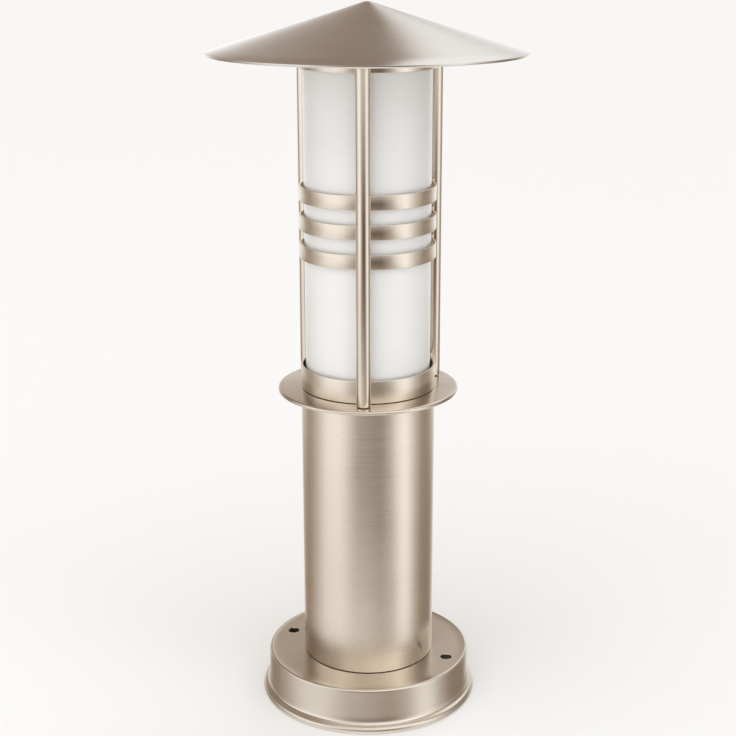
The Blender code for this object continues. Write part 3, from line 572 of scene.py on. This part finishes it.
def ledge_disc():
    """The turned disc with its full-round edge, its wire hole and its screw holes."""
    low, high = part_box("ledge_disc")
    half = (high.z - low.z) / 2
    middle = (high.z + low.z) / 2
    edge = 0.2 * MM
    profile = [
        (WIRE_HOLE + edge, high.z), *arc((high.x - half, middle), half, 90, -90, 10),
        (WIRE_HOLE + edge, low.z), (WIRE_HOLE, low.z + edge), (WIRE_HOLE, high.z - edge),
    ]
    mesh = lathe("ledge_disc_turned", profile)
    places = on_rods(ROD_CIRCLE) + LEDGE_SCREW_PLACES
    cutters = [hole_cutter(CLEARANCE_HOLE, x, y, low.z, high.z, steps=32) for x, y in places]
    mesh = cut_holes(mesh, cutters)
    new_piece("ledge_disc_turned", mesh, STEEL_SPUN, "pedestal", ["ledge_disc"])


def roof_cone():
    """The spun cone: a rounded crown, straight sides, and a lip softened on both faces."""
    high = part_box("roof_cone")[1]
    slope = math.tan(ROOF_SLOPE)
    crown_centre = (0, ROOF_TIP - ROOF_CROWN_RADIUS / math.cos(ROOF_SLOPE))
    crown = arc(crown_centre, ROOF_CROWN_RADIUS, 90, 90 - math.degrees(ROOF_SLOPE), 8)
    crown[0] = (0, crown[0][1])
    outer = crown + [(r * MM, ROOF_TIP - r * MM * slope) for r in ROOF_RADII]
    inner_drop = ROOF_SHEET / math.cos(ROOF_SLOPE)
    inner_lean = ROOF_SHEET * math.sin(ROOF_SLOPE)
    outer_edge = Vector((high.x, ROOF_TIP - high.x * slope))
    inner_edge = outer_edge + Vector((-inner_lean, -ROOF_SHEET * math.cos(ROOF_SLOPE)))
    down = (outer_edge - Vector(outer[-1])).normalized() * ROOF_LIP
    across = (inner_edge - outer_edge).normalized() * ROOF_LIP
    edge = [
        outer_edge - down, outer_edge - 0.3 * down + 0.15 * across, outer_edge + across,
        inner_edge - across, inner_edge - 0.3 * down - 0.15 * across, inner_edge - down,
    ]
    inner = [(r * MM, ROOF_TIP - inner_drop - r * MM * slope) for r in ROOF_RADII[::-1]]
    inner += [(x, z - inner_drop + 0.06 * MM) for x, z in crown[::-1] if x < 2.4 * MM]
    inner[-1] = (0, inner[-1][1])
    mesh = lathe("roof_cone_spun", outer + [tuple(point) for point in edge] + inner)
    new_piece("roof_cone_spun", mesh, STEEL_ROOF, "head", ["roof_cone"])


def roof_plate():
    """The flat plate under the cone, bored for the stud and the rods' screws."""
    low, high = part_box("roof_plate")
    profile = fillet(ring(PLATE_BORE, high.x, low.z, high.z), 0.2 * MM)
    mesh = lathe("roof_plate_turned", profile)
    cutters = [hole_cutter(CLEARANCE_HOLE, x, y, low.z, high.z) for x, y in on_rods(ROD_CIRCLE)]
    mesh = cut_holes(mesh, cutters)
    new_piece("roof_plate_turned", mesh, STEEL_SPUN, "head", ["roof_plate"])


def rods():
    """The three round rods, with a rounded edge and a tapped bore at each end."""
    bore = TAPPED_HOLE
    mouth = 0.3 * MM
    edge = 0.6 * MM
    for number in (1, 2, 3):
        node_name = f"rod_{number}"
        low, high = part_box(node_name)
        radius = (high.x - low.x) / 2
        upper = high.z - ROD_BORE_DEPTH
        lower = low.z + ROD_BORE_DEPTH
        profile = [
            (0, upper), (bore, upper), (bore, high.z - mouth), (bore + mouth, high.z),
            *arc((radius - edge, high.z - edge), edge, 90, 0, 4),
            *arc((radius - edge, low.z + edge), edge, 0, -90, 4),
            (bore + mouth, low.z), (bore, low.z + mouth), (bore, lower), (0, lower),
        ]
        name = f"{node_name}_turned"
        mesh = lathe(name, profile, ROD_ROUND, middle_of(low, high))
        new_piece(name, mesh, STEEL_ROD, "head", [node_name])


def diffuser():
    """The opal cylinder, with polished round edges."""
    low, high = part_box("diffuser")
    profile = fillet(ring(high.x - DIFFUSER_WALL, high.x, low.z, high.z), 0.5 * MM, 4)
    mesh = lathe("diffuser_cylinder", profile)
    new_piece("diffuser_cylinder", mesh, OPAL, "head", ["diffuser"])


# Small hardware


def box_cutter(size, place, turn=0.0):
    """A box centred on a place, turned about Z."""
    shape = bmesh.new()
    matrix = Matrix.Translation(place) @ Matrix.Rotation(turn, 4, "Z") @ Matrix.Diagonal((*size, 1.0))
    bmesh.ops.create_cube(shape, size=1.0, matrix=matrix)
    return mesh_of(shape, "cutter")


def thread(radius, depth, pitch, top, bottom):
    """Profile points down a thread's flanks, as a row of grooves."""
    points = []
    turns = max(1, int((top - bottom) / pitch))
    for turn in range(turns):
        crest = top - turn * pitch
        points += [
            (radius, crest), (radius, crest - 0.15 * pitch), (radius - depth, crest - 0.5 * pitch),
            (radius - depth, crest - 0.6 * pitch),
        ]
    return points


def pan_screw_mesh(name, head, shank, length):
    """A cross-recessed pan-head screw whose head bears at height 0, with a rolled thread below."""
    crown = SCREW_CROWN * head
    edge = 0.34 * crown
    point = 0.5 * MM
    top = [(0, crown)]
    top += [(head * share, crown - (crown - edge) * share ** 4) for share in (0.3, 0.55, 0.72, 0.85, 0.94)]
    top += [(head, edge), (head, 0.12 * crown), (head - 0.12 * crown, 0)]
    neck = -1.0 * MM
    profile = top + [(shank, 0), (shank, neck)]
    profile += thread(shank, 0.2 * MM, 0.7 * MM, neck - 0.1 * MM, -length + point)
    profile += [(shank - point, -length), (0, -length)]
    mesh = lathe(name, profile, SCREW_ROUND)
    recess = 0.5 * crown
    width = 0.24 * head
    span = 1.15 * head
    depth = (0, 0, crown - recess / 2 + MM / 2)
    cutters = [box_cutter((span, width, recess + MM), depth), box_cutter((width, span, recess + MM), depth)]
    return cut_holes(mesh, cutters)


def pan_screws():
    """Every pan-head screw, as long as its node and with the head on the node's own side."""
    kinds = {
        "foot_screw_1": True, "foot_screw_2": True, "foot_screw_3": True,
        "rod_foot_screw_1": True, "rod_foot_screw_2": True, "rod_foot_screw_3": True,
        "rod_top_screw_1": False, "rod_top_screw_2": False, "rod_top_screw_3": False,
        "bracket_screw_1": False, "bracket_screw_2": False, "holder_screw_1": False,
        "holder_screw_2": False, "earth_screw": False, "terminal_fixing_screw": False,
    }
    shanks = {"terminal_fixing_screw": BLOCK_SCREW_SHANK}
    for turn, (node_name, head_down) in enumerate(kinds.items()):
        low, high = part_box(node_name)
        head = (high.x - low.x) / 2
        shank = shanks.get(node_name, SCREW_SHANK)
        crown = SCREW_CROWN * head
        length = high.z - low.z - crown
        name = f"{node_name}_threaded"
        mesh = pan_screw_mesh(name, head, shank, length)
        place = Matrix.Rotation(0.7 * turn, 4, "Z")
        seat = high.z - crown
        if head_down:
            place = Matrix.Rotation(math.pi, 4, "X") @ place
            seat = low.z + crown
        mesh.transform(Matrix.Translation((*middle_of(low, high), seat)) @ place)
        body = "head" if node_name.startswith("rod_top") else "pedestal"
        new_piece(name, mesh, SCREW, body, [node_name])


def clamp_screws():
    """Headless slotted screws in the terminal ways."""
    for number in range(1, 7):
        node_name = f"terminal_clamp_screw_{number}"
        low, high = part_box(node_name)
        x, y = middle_of(low, high)
        radius = (high.y - low.y) / 2
        profile = [(0, high.z), (radius - 0.2 * MM, high.z), (radius, high.z - 0.2 * MM)]
        profile += thread(radius, 0.15 * MM, 0.45 * MM, high.z - 0.3 * MM, low.z + 0.5 * MM)
        profile += [(radius - 0.35 * MM, low.z), (0, low.z)]
        name = f"{node_name}_threaded"
        mesh = lathe(name, profile, 24, (x, y))
        slot = box_cutter((4 * MM, 0.5 * MM, 1.8 * MM), (x, y, high.z), 0.5 * number)
        new_piece(name, cut_holes(mesh, [slot]), SCREW, "pedestal", [node_name])


def joined(node_name):
    """A bmesh of a CAD node's own shape, with its doubled corners joined again."""
    shape = bmesh.new()
    shape.from_mesh(NODES[node_name].data)
    bmesh.ops.remove_doubles(shape, verts=shape.verts, dist=0.002 * MM)
    return shape


def softened(node_name, finish, body, width, segments=3):
    """A node's own shape with its flat faces joined again and its edges rounded."""
    name = f"{node_name}_soft"
    shape = joined(node_name)
    bmesh.ops.dissolve_limit(
        shape, angle_limit=math.radians(1.5), verts=shape.verts, edges=shape.edges,
        use_dissolve_boundaries=False,
    )
    work = helper("work", mesh_of(shape, name))
    bevel = work.modifiers.new("Bevel", "BEVEL")
    bevel.width = width
    bevel.segments = segments
    bevel.limit_method = "ANGLE"
    bevel.angle_limit = math.radians(35)
    bevel.use_clamp_overlap = True
    new_piece(name, smooth(modified(work), 40), finish, body, [node_name])


def flange_ring(node_name, bore, up):
    """An angle ring with a rolled inner bend, welded inside the tube's end, with its tapped holes."""
    low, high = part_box(node_name)
    outer = high.x
    web = 2.5 * MM
    wall = 1.5 * MM
    face = low.z if up else high.z
    side = 1 if up else -1
    far = high.z if up else low.z
    profile = [
        (outer, face), (bore, face), (bore, face + side * web), (outer - wall, face + side * web),
        (outer - wall, far), (outer, far),
    ]
    name = f"{node_name}_turned"
    mesh = lathe(name, fillet(profile, 0.35 * MM), MEDIUM)
    places = on_rods(FOOT_SCREW_CIRCLE) if up else LEDGE_SCREW_PLACES
    bottom, top = sorted((face, face + side * web))
    cutters = [hole_cutter(TAPPED_HOLE, x, y, bottom, top, 0.2 * MM, 32) for x, y in places]
    new_piece(name, cut_holes(mesh, cutters), ZINC, "pedestal", [node_name])


def roof_stud():
    """A threaded stud with its weld flange, and the nut under the roof plate."""
    low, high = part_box("roof_stud")
    radius = STUD_RADIUS
    flange = high.x
    under = high.z - STUD_FLANGE
    profile = [
        (0, high.z), (flange - 0.4 * MM, high.z), (flange, high.z - 0.4 * MM), (flange, under + 0.3 * MM),
        (flange - 0.3 * MM, under), (radius + 0.5 * MM, under), (radius, under - 0.5 * MM),
        *thread(radius, 0.35 * MM, 1.0 * MM, under - 1.5 * MM, low.z + 0.8 * MM),
        (radius - 0.8 * MM, low.z), (0, low.z),
    ]
    mesh = lathe("roof_stud_threaded", profile, SCREW_ROUND)
    new_piece("roof_stud_threaded", mesh, ZINC, "head", ["roof_stud"])
    softened("roof_nut", SCREW, "head", 0.35 * MM)


def holder_body():
    """The porcelain holder: a rounded collar over a narrower foot, with grip grooves and a deep socket."""
    low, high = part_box("lamp_holder")
    collar = high.x
    soft = HOLDER_ROUNDING
    step = low.z + HOLDER_STEP
    floor_top = low.z + HOLDER_FLOOR
    cavity = HOLDER_CAVITY
    groove = 0.35 * MM
    grooves = []
    for index in range(4):
        middle = step + (6 + 3.4 * index) * MM
        grooves += [(collar, middle - 0.7 * MM), (collar - groove, middle - 0.3 * MM),
                    (collar - groove, middle + 0.3 * MM), (collar, middle + 0.7 * MM)]
    profile = [
        (0, low.z), *arc((HOLDER_FOOT - soft, low.z + soft), soft, -90, 0, 6),
        (HOLDER_FOOT, step - 0.8 * MM), *arc((collar - soft, step + 1.6 * MM), soft, -60, 0, 5),
        *grooves,
        *arc((collar - soft, high.z - soft), soft, 0, 90, 6),
        (cavity + 0.8 * MM, high.z), (cavity + 0.2 * MM, high.z - 0.2 * MM), (cavity, high.z - 0.8 * MM),
        (cavity, floor_top + 0.8 * MM), (cavity - 0.8 * MM, floor_top), (0, floor_top),
    ]
    mesh = lathe("lamp_holder_glazed", profile, FINE)
    screw_x = 8 * MM
    cutters = [
        hole_cutter(CLEARANCE_HOLE, x, 0, low.z, floor_top, 0.3 * MM, 32)
        for x in (screw_x, -screw_x)
    ]
    lead_y = 5.5 * MM
    lead_hole = 1.6 * MM
    lead_top = low.z + 9 * MM
    for y in (lead_y, -lead_y):
        outline = [(0, low.z - MM), (lead_hole, low.z - MM), (lead_hole, lead_top), (0, lead_top)]
        cutters.append(lathe("cutter", outline, 32, (0, y)))
    mesh = cut_holes(mesh, cutters)
    new_piece("lamp_holder_glazed", mesh, PORCELAIN, "pedestal", ["lamp_holder"])


def knuckle_wall(name, rows, taper_top, taper_bottom):
    """A thin turned wall with a rolled screw thread: rows of (outer radius, height) down its outer face."""
    shape = bmesh.new()
    top = rows[0][1]
    bottom = rows[-1][1]

    def radius_at(radius, height, turn):
        """The wall's radius, waved along the helix and plain near both ends."""
        fade = min(1.0, max(0.0, (top - height) / taper_top), max(0.0, (height - bottom) / taper_bottom))
        wave = 0.5 - 0.5 * math.cos(2 * math.pi * (height / BULB_PITCH) - turn)
        return radius - THREAD_DEPTH * fade * wave

    loops = []
    outline = rows + [(radius - THREAD_WALL, height) for radius, height in rows[::-1]]
    for radius, height in outline:
        turns = [2 * math.pi * step / FINE for step in range(FINE)]
        loops.append([
            shape.verts.new((radius_at(radius, height, turn) * math.cos(turn),
                             radius_at(radius, height, turn) * math.sin(turn), height))
            for turn in turns
        ])
    for upper, lower in zip(loops, loops[1:] + loops[:1]):
        for step in range(FINE):
            after = (step + 1) % FINE
            shape.faces.new((upper[step], lower[step], lower[after], upper[after]))
    bmesh.ops.recalc_face_normals(shape, faces=shape.faces)
    return smooth(mesh_of(shape, name), 50)


def column(radius, top, bottom):
    """Rows of one radius at even heights, top to bottom."""
    count = max(1, round((top - bottom) / ROW_STEP))
    return [(radius, top + (bottom - top) * index / count) for index in range(count + 1)]


def screw_shell():
    """The holder's threaded shell and the bulb's threaded cap, of one pitch."""
    low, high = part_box("holder_shell")
    rows = column(high.x, high.z, low.z)
    mesh = knuckle_wall("holder_shell_threaded", rows, 1.5 * MM, 2.0 * MM)
    new_piece("holder_shell_threaded", mesh, NICKEL, "pedestal", ["holder_shell"])
    low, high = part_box("bulb_cap")
    shoulder = low.z + 3.0 * MM
    rows = column(high.x, high.z, shoulder)
    rows += [(high.x - 0.35 * MM, shoulder - 0.8 * MM), (high.x - 0.9 * MM, shoulder - 1.7 * MM),
             (high.x - 1.5 * MM, low.z + 0.6 * MM), (high.x - 1.9 * MM, low.z)]
    mesh = knuckle_wall("bulb_cap_threaded", rows, 3.5 * MM, 4.5 * MM)
    new_piece("bulb_cap_threaded", mesh, NICKEL, "bulb", ["bulb_cap"])


def globe():
    """The blown globe with its drawn neck, which runs down into the cap."""
    low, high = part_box("bulb_globe")
    radius = high.x
    neck = BULB_NECK
    cap_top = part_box("bulb_cap")[1].z
    outer = arc((0, high.z - radius), radius, 90, -GLOBE_END, 44)
    outer[0] = (0, high.z)
    start = Vector(outer[-1])
    end = Vector((neck, cap_top + 1.0 * MM))
    slant = math.radians(GLOBE_END)
    lean = start + Vector((-math.sin(slant), -math.cos(slant))) * 4.2 * MM
    rise = end + Vector((0, 3.4 * MM))
    for step in range(1, 11):
        t = step / 10
        outer.append(tuple((1 - t) ** 3 * start + 3 * t * (1 - t) ** 2 * lean + 3 * t * t * (1 - t) * rise
                           + t ** 3 * end))
    outer += [(neck, cap_top - 4 * MM), (neck, low.z + 0.3 * MM), (neck - 0.15 * MM, low.z)]
    inner = offset(outer, BULB_GLASS)
    inner[0] = (0, high.z - BULB_GLASS)
    inner[-1] = (neck - 0.75 * MM, low.z)
    mesh = lathe("bulb_globe_blown", outer + inner[::-1], MEDIUM)
    new_piece("bulb_globe_blown", mesh, GLASS, "bulb", ["bulb_globe"])


def bulb_foot():
    """The black glass insulator and the solder contact under the bulb's cap."""
    low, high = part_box("bulb_insulator")
    wide = high.x
    profile = [
        (0, high.z), (wide - 0.2 * MM, high.z), (wide, high.z - 0.15 * MM),
        (wide - 1.6 * MM, high.z - 0.9 * MM), (wide - 3.4 * MM, high.z - 1.9 * MM),
        (5.4 * MM, low.z + 0.15 * MM), (5.1 * MM, low.z), (0, low.z),
    ]
    mesh = lathe("bulb_insulator_cast", profile, FINE)
    new_piece("bulb_insulator_cast", mesh, VITRITE, "bulb", ["bulb_insulator"])
    low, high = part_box("bulb_contact")
    wide = high.x
    dome = 0.6 * MM
    profile = [(0, high.z), (wide - 0.1 * MM, high.z), (wide, high.z - 0.15 * MM)]
    for degrees in (8, 22, 38, 54, 70, 82):
        turn = math.radians(degrees)
        profile.append((wide * math.cos(turn), low.z + dome - dome * math.sin(turn)))
    profile.append((0, low.z))
    mesh = lathe("bulb_contact_soldered", profile, 64)
    new_piece("bulb_contact_soldered", mesh, NICKEL, "bulb_rise", ["bulb_contact"])


def rubber_parts():
    """The inlet grommet and the two gaskets."""
    low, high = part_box("cable_grommet")
    centre = (0.0, (low.y + high.y) / 2)
    flange = (high.x - low.x) / 2
    waist = 8.7 * MM
    lip = 2.0 * MM
    bore = 4.0 * MM
    profile = fillet([
        (flange, high.z), (flange, high.z - lip), (waist, high.z - lip), (waist, low.z + lip),
        (flange, low.z + lip), (flange, low.z), (bore, low.z), (bore, high.z),
    ], 0.6 * MM, 4)
    mesh = lathe("cable_grommet_moulded", profile, FINE, centre)
    new_piece("cable_grommet_moulded", mesh, RUBBER, "pedestal", ["cable_grommet"])
    for node_name, bore, body in (("seat_gasket", 31.8 * MM, "pedestal"), ("top_gasket", 32.0 * MM, "head")):
        low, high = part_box(node_name)
        profile = fillet(ring(bore, high.x, low.z, high.z), 0.4 * MM, 3)
        name = f"{node_name}_moulded"
        new_piece(name, lathe(name, profile, MEDIUM), RUBBER, body, [node_name])


def terminal_ways():
    """The brass tubes of the terminal block, with a countersunk mouth and two tapped holes."""
    for pole in ("live", "earth", "neutral"):
        node_name = f"terminal_way_{pole}"
        low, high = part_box(node_name)
        length = high.y - low.y
        radius = (high.z - low.z) / 2
        centre = (low + high) / 2
        bore = 1.5 * MM
        half = length / 2
        edge = 0.2 * MM
        mouth = 0.3 * MM
        profile = [
            (radius, half - edge), (radius, -half + edge), (radius - edge, -half),
            (bore + mouth, -half), (bore, -half + mouth), (bore, half - mouth),
            (bore + mouth, half), (radius - edge, half),
        ]
        name = f"{node_name}_turned"
        mesh = lathe(name, profile, 40)
        mesh.transform(Matrix.Translation(centre) @ Matrix.Rotation(math.pi / 2, 4, "X"))
        cutters = [
            hole_cutter(1.6 * MM, centre.x, centre.y + side * 3.5 * MM, centre.z + MM, high.z, steps=24)
            for side in (-1, 1)
        ]
        new_piece(name, cut_holes(mesh, cutters), BRASS, "pedestal", [node_name])


def round_leads():
    """The three leads, drawn round from the nodes' own routes."""
    for pole, finish, slot in (("live", BROWN, "lead_brown"), ("neutral", BLUE, "lead_blue"),
                               ("earth", EARTH, "lead_green_yellow")):
        node_name = f"lead_{pole}"
        name = f"{node_name}_round"
        shape = joined(node_name)
        bmesh.ops.join_triangles(
            shape, faces=shape.faces, angle_face_threshold=math.radians(30),
            angle_shape_threshold=math.radians(60),
        )
        work = helper("work", mesh_of(shape, name))
        fine = work.modifiers.new("Fine", "SUBSURF")
        fine.levels = 2
        fine.render_levels = 2
        mesh = modified(work)
        mesh.shade_smooth()
        new_piece(name, mesh, finish, "pedestal", [node_name])


def hardware():
    """Everything small or hidden."""
    pan_screws()
    clamp_screws()
    flange_ring("foot_flange", 27.0 * MM, True)
    flange_ring("head_flange", 21.0 * MM, False)
    roof_stud()
    holder_body()
    screw_shell()
    globe()
    bulb_foot()
    rubber_parts()
    terminal_ways()
    round_leads()
    softened("holder_bracket", ZINC, "pedestal", 0.5 * MM)
    softened("holder_contact", BRASS, "pedestal", 0.08 * MM, 2)
    softened("earth_tag", BRASS, "pedestal", 0.12 * MM, 2)
    softened("terminal_block", POLYAMIDE, "pedestal", 0.35 * MM)


# Stage, light and camera


def lay(name, mesh, finish, height):
    """A flat piece of the stage at a height."""
    mesh.materials.append(finish)
    piece = bpy.data.objects.new(name, mesh)
    piece.location = (0, 0, height)
    bpy.context.scene.collection.objects.link(piece)
    return piece


def floor():
    """A pale floor, which the metal doesn't mirror, and the shaded patch of it inside the base cup."""
    size = 14.0
    mesh = bpy.data.meshes.new("floor")
    corners = [(-size, -size, 0), (size, -size, 0), (size, size, 0), (-size, size, 0)]
    mesh.from_pydata(corners, [], [(0, 1, 2, 3)])
    finish, tree, shader = new_material("floor_finish")
    set_inputs(tree, shader, Base_Color=(0.9, 0.9, 0.895, 1.0), Roughness=0.9, Specular_IOR_Level=0.0)
    lay("floor", mesh, finish, -0.2 * MM).visible_glossy = False
    shape = bmesh.new()
    bmesh.ops.create_circle(shape, cap_ends=True, segments=64, radius=60 * MM)
    lay("floor_patch", mesh_of(shape, "floor_patch"), finish, -0.1 * MM)


# The room's brightness at each elevation in degrees, as (azimuth, brightness) pairs
ROOM = {
    -50: [(-180, 1.15), (-120, 0.9), (0, 1.15), (120, 0.9), (180, 1.15)],
    -31: [
        (-180, 1.0), (-166, 0.9), (-148, 0.26), (-124, 0.36), (-105, 0.60), (-83, 0.86), (-65, 0.85),
        (-48, 0.92), (-33, 0.80), (-18, 0.72), (-4, 0.68), (10, 0.58), (25, 0.46), (39, 0.50), (50, 0.56),
        (62, 0.90), (72, 1.00), (84, 0.84), (96, 0.46), (112, 0.24), (148, 0.2), (166, 0.9), (180, 1.0),
    ],
    -27: [
        (-180, 1.0), (-166, 0.9), (-148, 0.26), (-124, 0.28), (-105, 0.42), (-83, 0.76), (-65, 1.0),
        (-48, 1.0), (-33, 0.82), (-18, 0.66), (-4, 0.63), (10, 0.52), (25, 0.43), (39, 0.43), (50, 0.58),
        (62, 0.95), (72, 1.10), (84, 0.84), (96, 0.42), (112, 0.22), (148, 0.26), (166, 0.9), (180, 1.0),
    ],
    -19: [
        (-180, 1.0), (-166, 0.95), (-148, 0.36), (-124, 0.30), (-98, 0.56), (-76, 0.98), (-52, 1.0),
        (-36, 0.68), (-24, 0.40), (-14, 0.25), (0, 0.23), (14, 0.18), (27, 0.18), (40, 0.42), (53, 0.72),
        (62, 1.05), (71, 1.25), (80, 1.05), (88, 0.76), (106, 0.40), (134, 0.26), (152, 0.4), (166, 0.95),
        (180, 1.0),
    ],
    -11: [
        (-180, 1.05), (-150, 1.0), (-137, 0.85), (-120, 0.42), (-108, 0.36), (-87, 0.62), (-69, 1.10),
        (-53, 1.18), (-39, 1.10), (-25, 0.62), (-12, 0.24), (0, 0.13), (14, 0.06), (27, 0.08), (41, 0.40),
        (55, 1.10), (70, 1.24), (87, 0.74), (107, 0.34), (120, 0.32), (133, 0.55), (150, 1.0), (180, 1.05),
    ],
    5: [
        (-180, 1.1), (-165, 1.1), (-150, 1.0), (-128, 0.4), (-110, 0.34), (-98, 0.7), (-84, 1.1), (-66, 1.2),
        (-42, 1.15), (-13, 0.7), (23, 0.7), (50, 1.05), (70, 1.25), (90, 0.70), (110, 0.30), (130, 0.35),
        (150, 0.9), (180, 1.1),
    ],
    17: [
        (-180, 0.50), (-173, 0.54), (-165, 0.60), (-150, 0.45), (-128, 0.3), (-112, 0.5), (-98, 1.2),
        (-84, 1.7), (-64, 1.8), (-42, 1.6), (-13, 0.75), (14, 0.6), (30, 0.55), (46, 1.1), (62, 1.55),
        (84, 0.95), (98, 0.42), (110, 0.18), (134, 0.18), (150, 0.8), (172, 0.85), (175, 0.85),
        (178, 0.56), (180, 0.50),
    ],
    27: [
        (-180, 0.43), (-173, 0.42), (-165, 0.40), (-150, 0.30), (-128, 0.06), (-98, 0.06), (-84, 0.1),
        (-64, 0.3), (-42, 1.1), (-26, 1.3), (-8, 1.2), (23, 1.7), (62, 1.9), (84, 0.6), (100, 0.15),
        (130, 0.15), (150, 0.6), (160, 1.12), (172, 1.12), (174.5, 1.08), (177, 0.68),
        (179, 0.45), (180, 0.43),
    ],
    38: [
        (-180, 0.25), (-173, 0.26), (-168, 0.28), (-160, 0.32), (-120, 0.32), (-60, 0.4), (-36, 0.9),
        (0, 1.15), (60, 1.3), (80, 0.5), (110, 0.6), (130, 1.1), (150, 1.22), (172, 1.22), (175, 1.02),
        (177, 0.48), (178.6, 0.29), (180, 0.25),
    ],
}


def room_stops(pairs):
    """Ramp stops from (azimuth, brightness) pairs. Azimuth 0 is the front, -Y, and 90 the right, +X.

    Dim places are warmer than bright ones."""
    found = []
    for azimuth, value in pairs:
        warm = max(0.0, 0.78 - value)
        cool = max(0.0, value - 0.85)
        green = 1 - 0.36 * warm + 0.04 * cool
        blue = 1 - 0.66 * warm + 0.10 * cool
        found.append(((azimuth + 180) / 360, (value / green, value, value * blue / green)))
    return found


def studio_world():
    """A pale room: soft boxes to the left and the right, a dim front, and a bright ceiling overhead."""
    ceiling_start, ceiling_full = math.radians(60), math.radians(74)
    ceiling_colour = (0.95, 0.93, 0.90, 1.0)
    backdrop_colour = (0.97, 0.97, 0.97, 1.0)
    world = bpy.data.worlds.new("studio")
    bpy.context.scene.world = world
    world.use_nodes = True
    tree = world.node_tree
    tree.nodes.clear()
    direction = node(tree, "ShaderNodeTexCoord").outputs["Generated"]
    parts = node(tree, "ShaderNodeSeparateXYZ", {"Vector": direction}).outputs
    turn = math_node(tree, "ARCTAN2", parts["X"], math_node(tree, "MULTIPLY", parts["Y"], -1.0))
    place = math_node(tree, "MULTIPLY_ADD", turn, 1 / (2 * math.pi), 0.5)
    rise = math_node(tree, "ARCSINE", parts["Z"])
    elevations = sorted(ROOM)
    room = ramp(tree, place, room_stops(ROOM[elevations[0]]))
    for lower, upper in zip(elevations, elevations[1:]):
        share = node(tree, "ShaderNodeMapRange", {
            "Value": rise, "From Min": math.radians(lower), "From Max": math.radians(upper),
        }).outputs["Result"]
        room = mix(tree, share, room, ramp(tree, place, room_stops(ROOM[upper])))
    overhead = node(tree, "ShaderNodeMapRange", {
        "Value": rise, "From Min": ceiling_start, "From Max": ceiling_full,
    }, interpolation_type="SMOOTHSTEP").outputs["Result"]
    lit = mix(tree, overhead, room, ceiling_colour)
    rays = node(tree, "ShaderNodeLightPath").outputs["Is Camera Ray"]
    seen = mix(tree, rays, lit, backdrop_colour)
    background = node(tree, "ShaderNodeBackground", {"Color": seen, "Strength": 1.0})
    output = node(tree, "ShaderNodeOutputWorld")
    tree.links.new(background.outputs[0], output.inputs[0])


def soft_light(name, place, target, size, watts):
    """A large soft box that lights the object but leaves no shape of its own in the metal."""
    data = bpy.data.lights.new(name, "AREA")
    data.shape = "RECTANGLE"
    data.size, data.size_y = size
    data.energy = watts
    lamp = bpy.data.objects.new(name, data)
    lamp.location = place
    lamp.rotation_euler = (Vector(target) - Vector(place)).to_track_quat("-Z", "Y").to_euler()
    lamp.visible_glossy = False
    lamp.visible_camera = False
    bpy.context.scene.collection.objects.link(lamp)


def overhead_light():
    """A wide soft light from above, which keeps the floor pale."""
    data = bpy.data.lights.new("overhead", "SUN")
    data.energy = 0.75
    data.angle = math.radians(70)
    lamp = bpy.data.objects.new("overhead", data)
    lamp.rotation_euler = (math.radians(12), math.radians(-10), 0)
    lamp.visible_glossy = False
    bpy.context.scene.collection.objects.link(lamp)


def camera():
    """The camera at the view of the front, a little from above and from the right."""
    data = bpy.data.cameras.new("camera")
    data.lens = LENS
    data.sensor_width = SENSOR
    data.clip_end = 100.0
    lens = bpy.data.objects.new("camera", data)
    place = Vector(CAMERA_PLACE)
    aim = Vector((0, 0, CAMERA_TARGET_HEIGHT)) - place
    turn = aim.to_track_quat("-Z", "Y").to_matrix().to_4x4()
    roll = Matrix.Rotation(math.radians(CAMERA_ROLL), 4, "Z")
    lens.matrix_world = Matrix.Translation(place) @ turn @ roll
    bpy.context.scene.collection.objects.link(lens)
    bpy.context.scene.camera = lens


finish_cad_nodes()
base_cup()
ring_piece("post_tube", STEEL_TUBE, "pedestal")
ledge_disc()
ring_piece("lower_collar", STEEL_COLLAR, "head")
ring_piece("top_collar", STEEL_BAND, "head")
for band in ("band_upper", "band_middle", "band_lower"):
    ring_piece(band, STEEL_BAND, "head")
rods()
roof_cone()
roof_plate()
diffuser()
hardware()

floor()
studio_world()
overhead_light()
soft_light("key", (-1.6, -1.4, 2.2), (0, 0, 0.2), (1.6, 1.6), 4)
soft_light("front", (-0.4, -2.3, 0.35), (0, 0, 0.25), (1.6, 0.8), 9)
camera()
bpy.context.scene.view_settings.view_transform = "Standard"
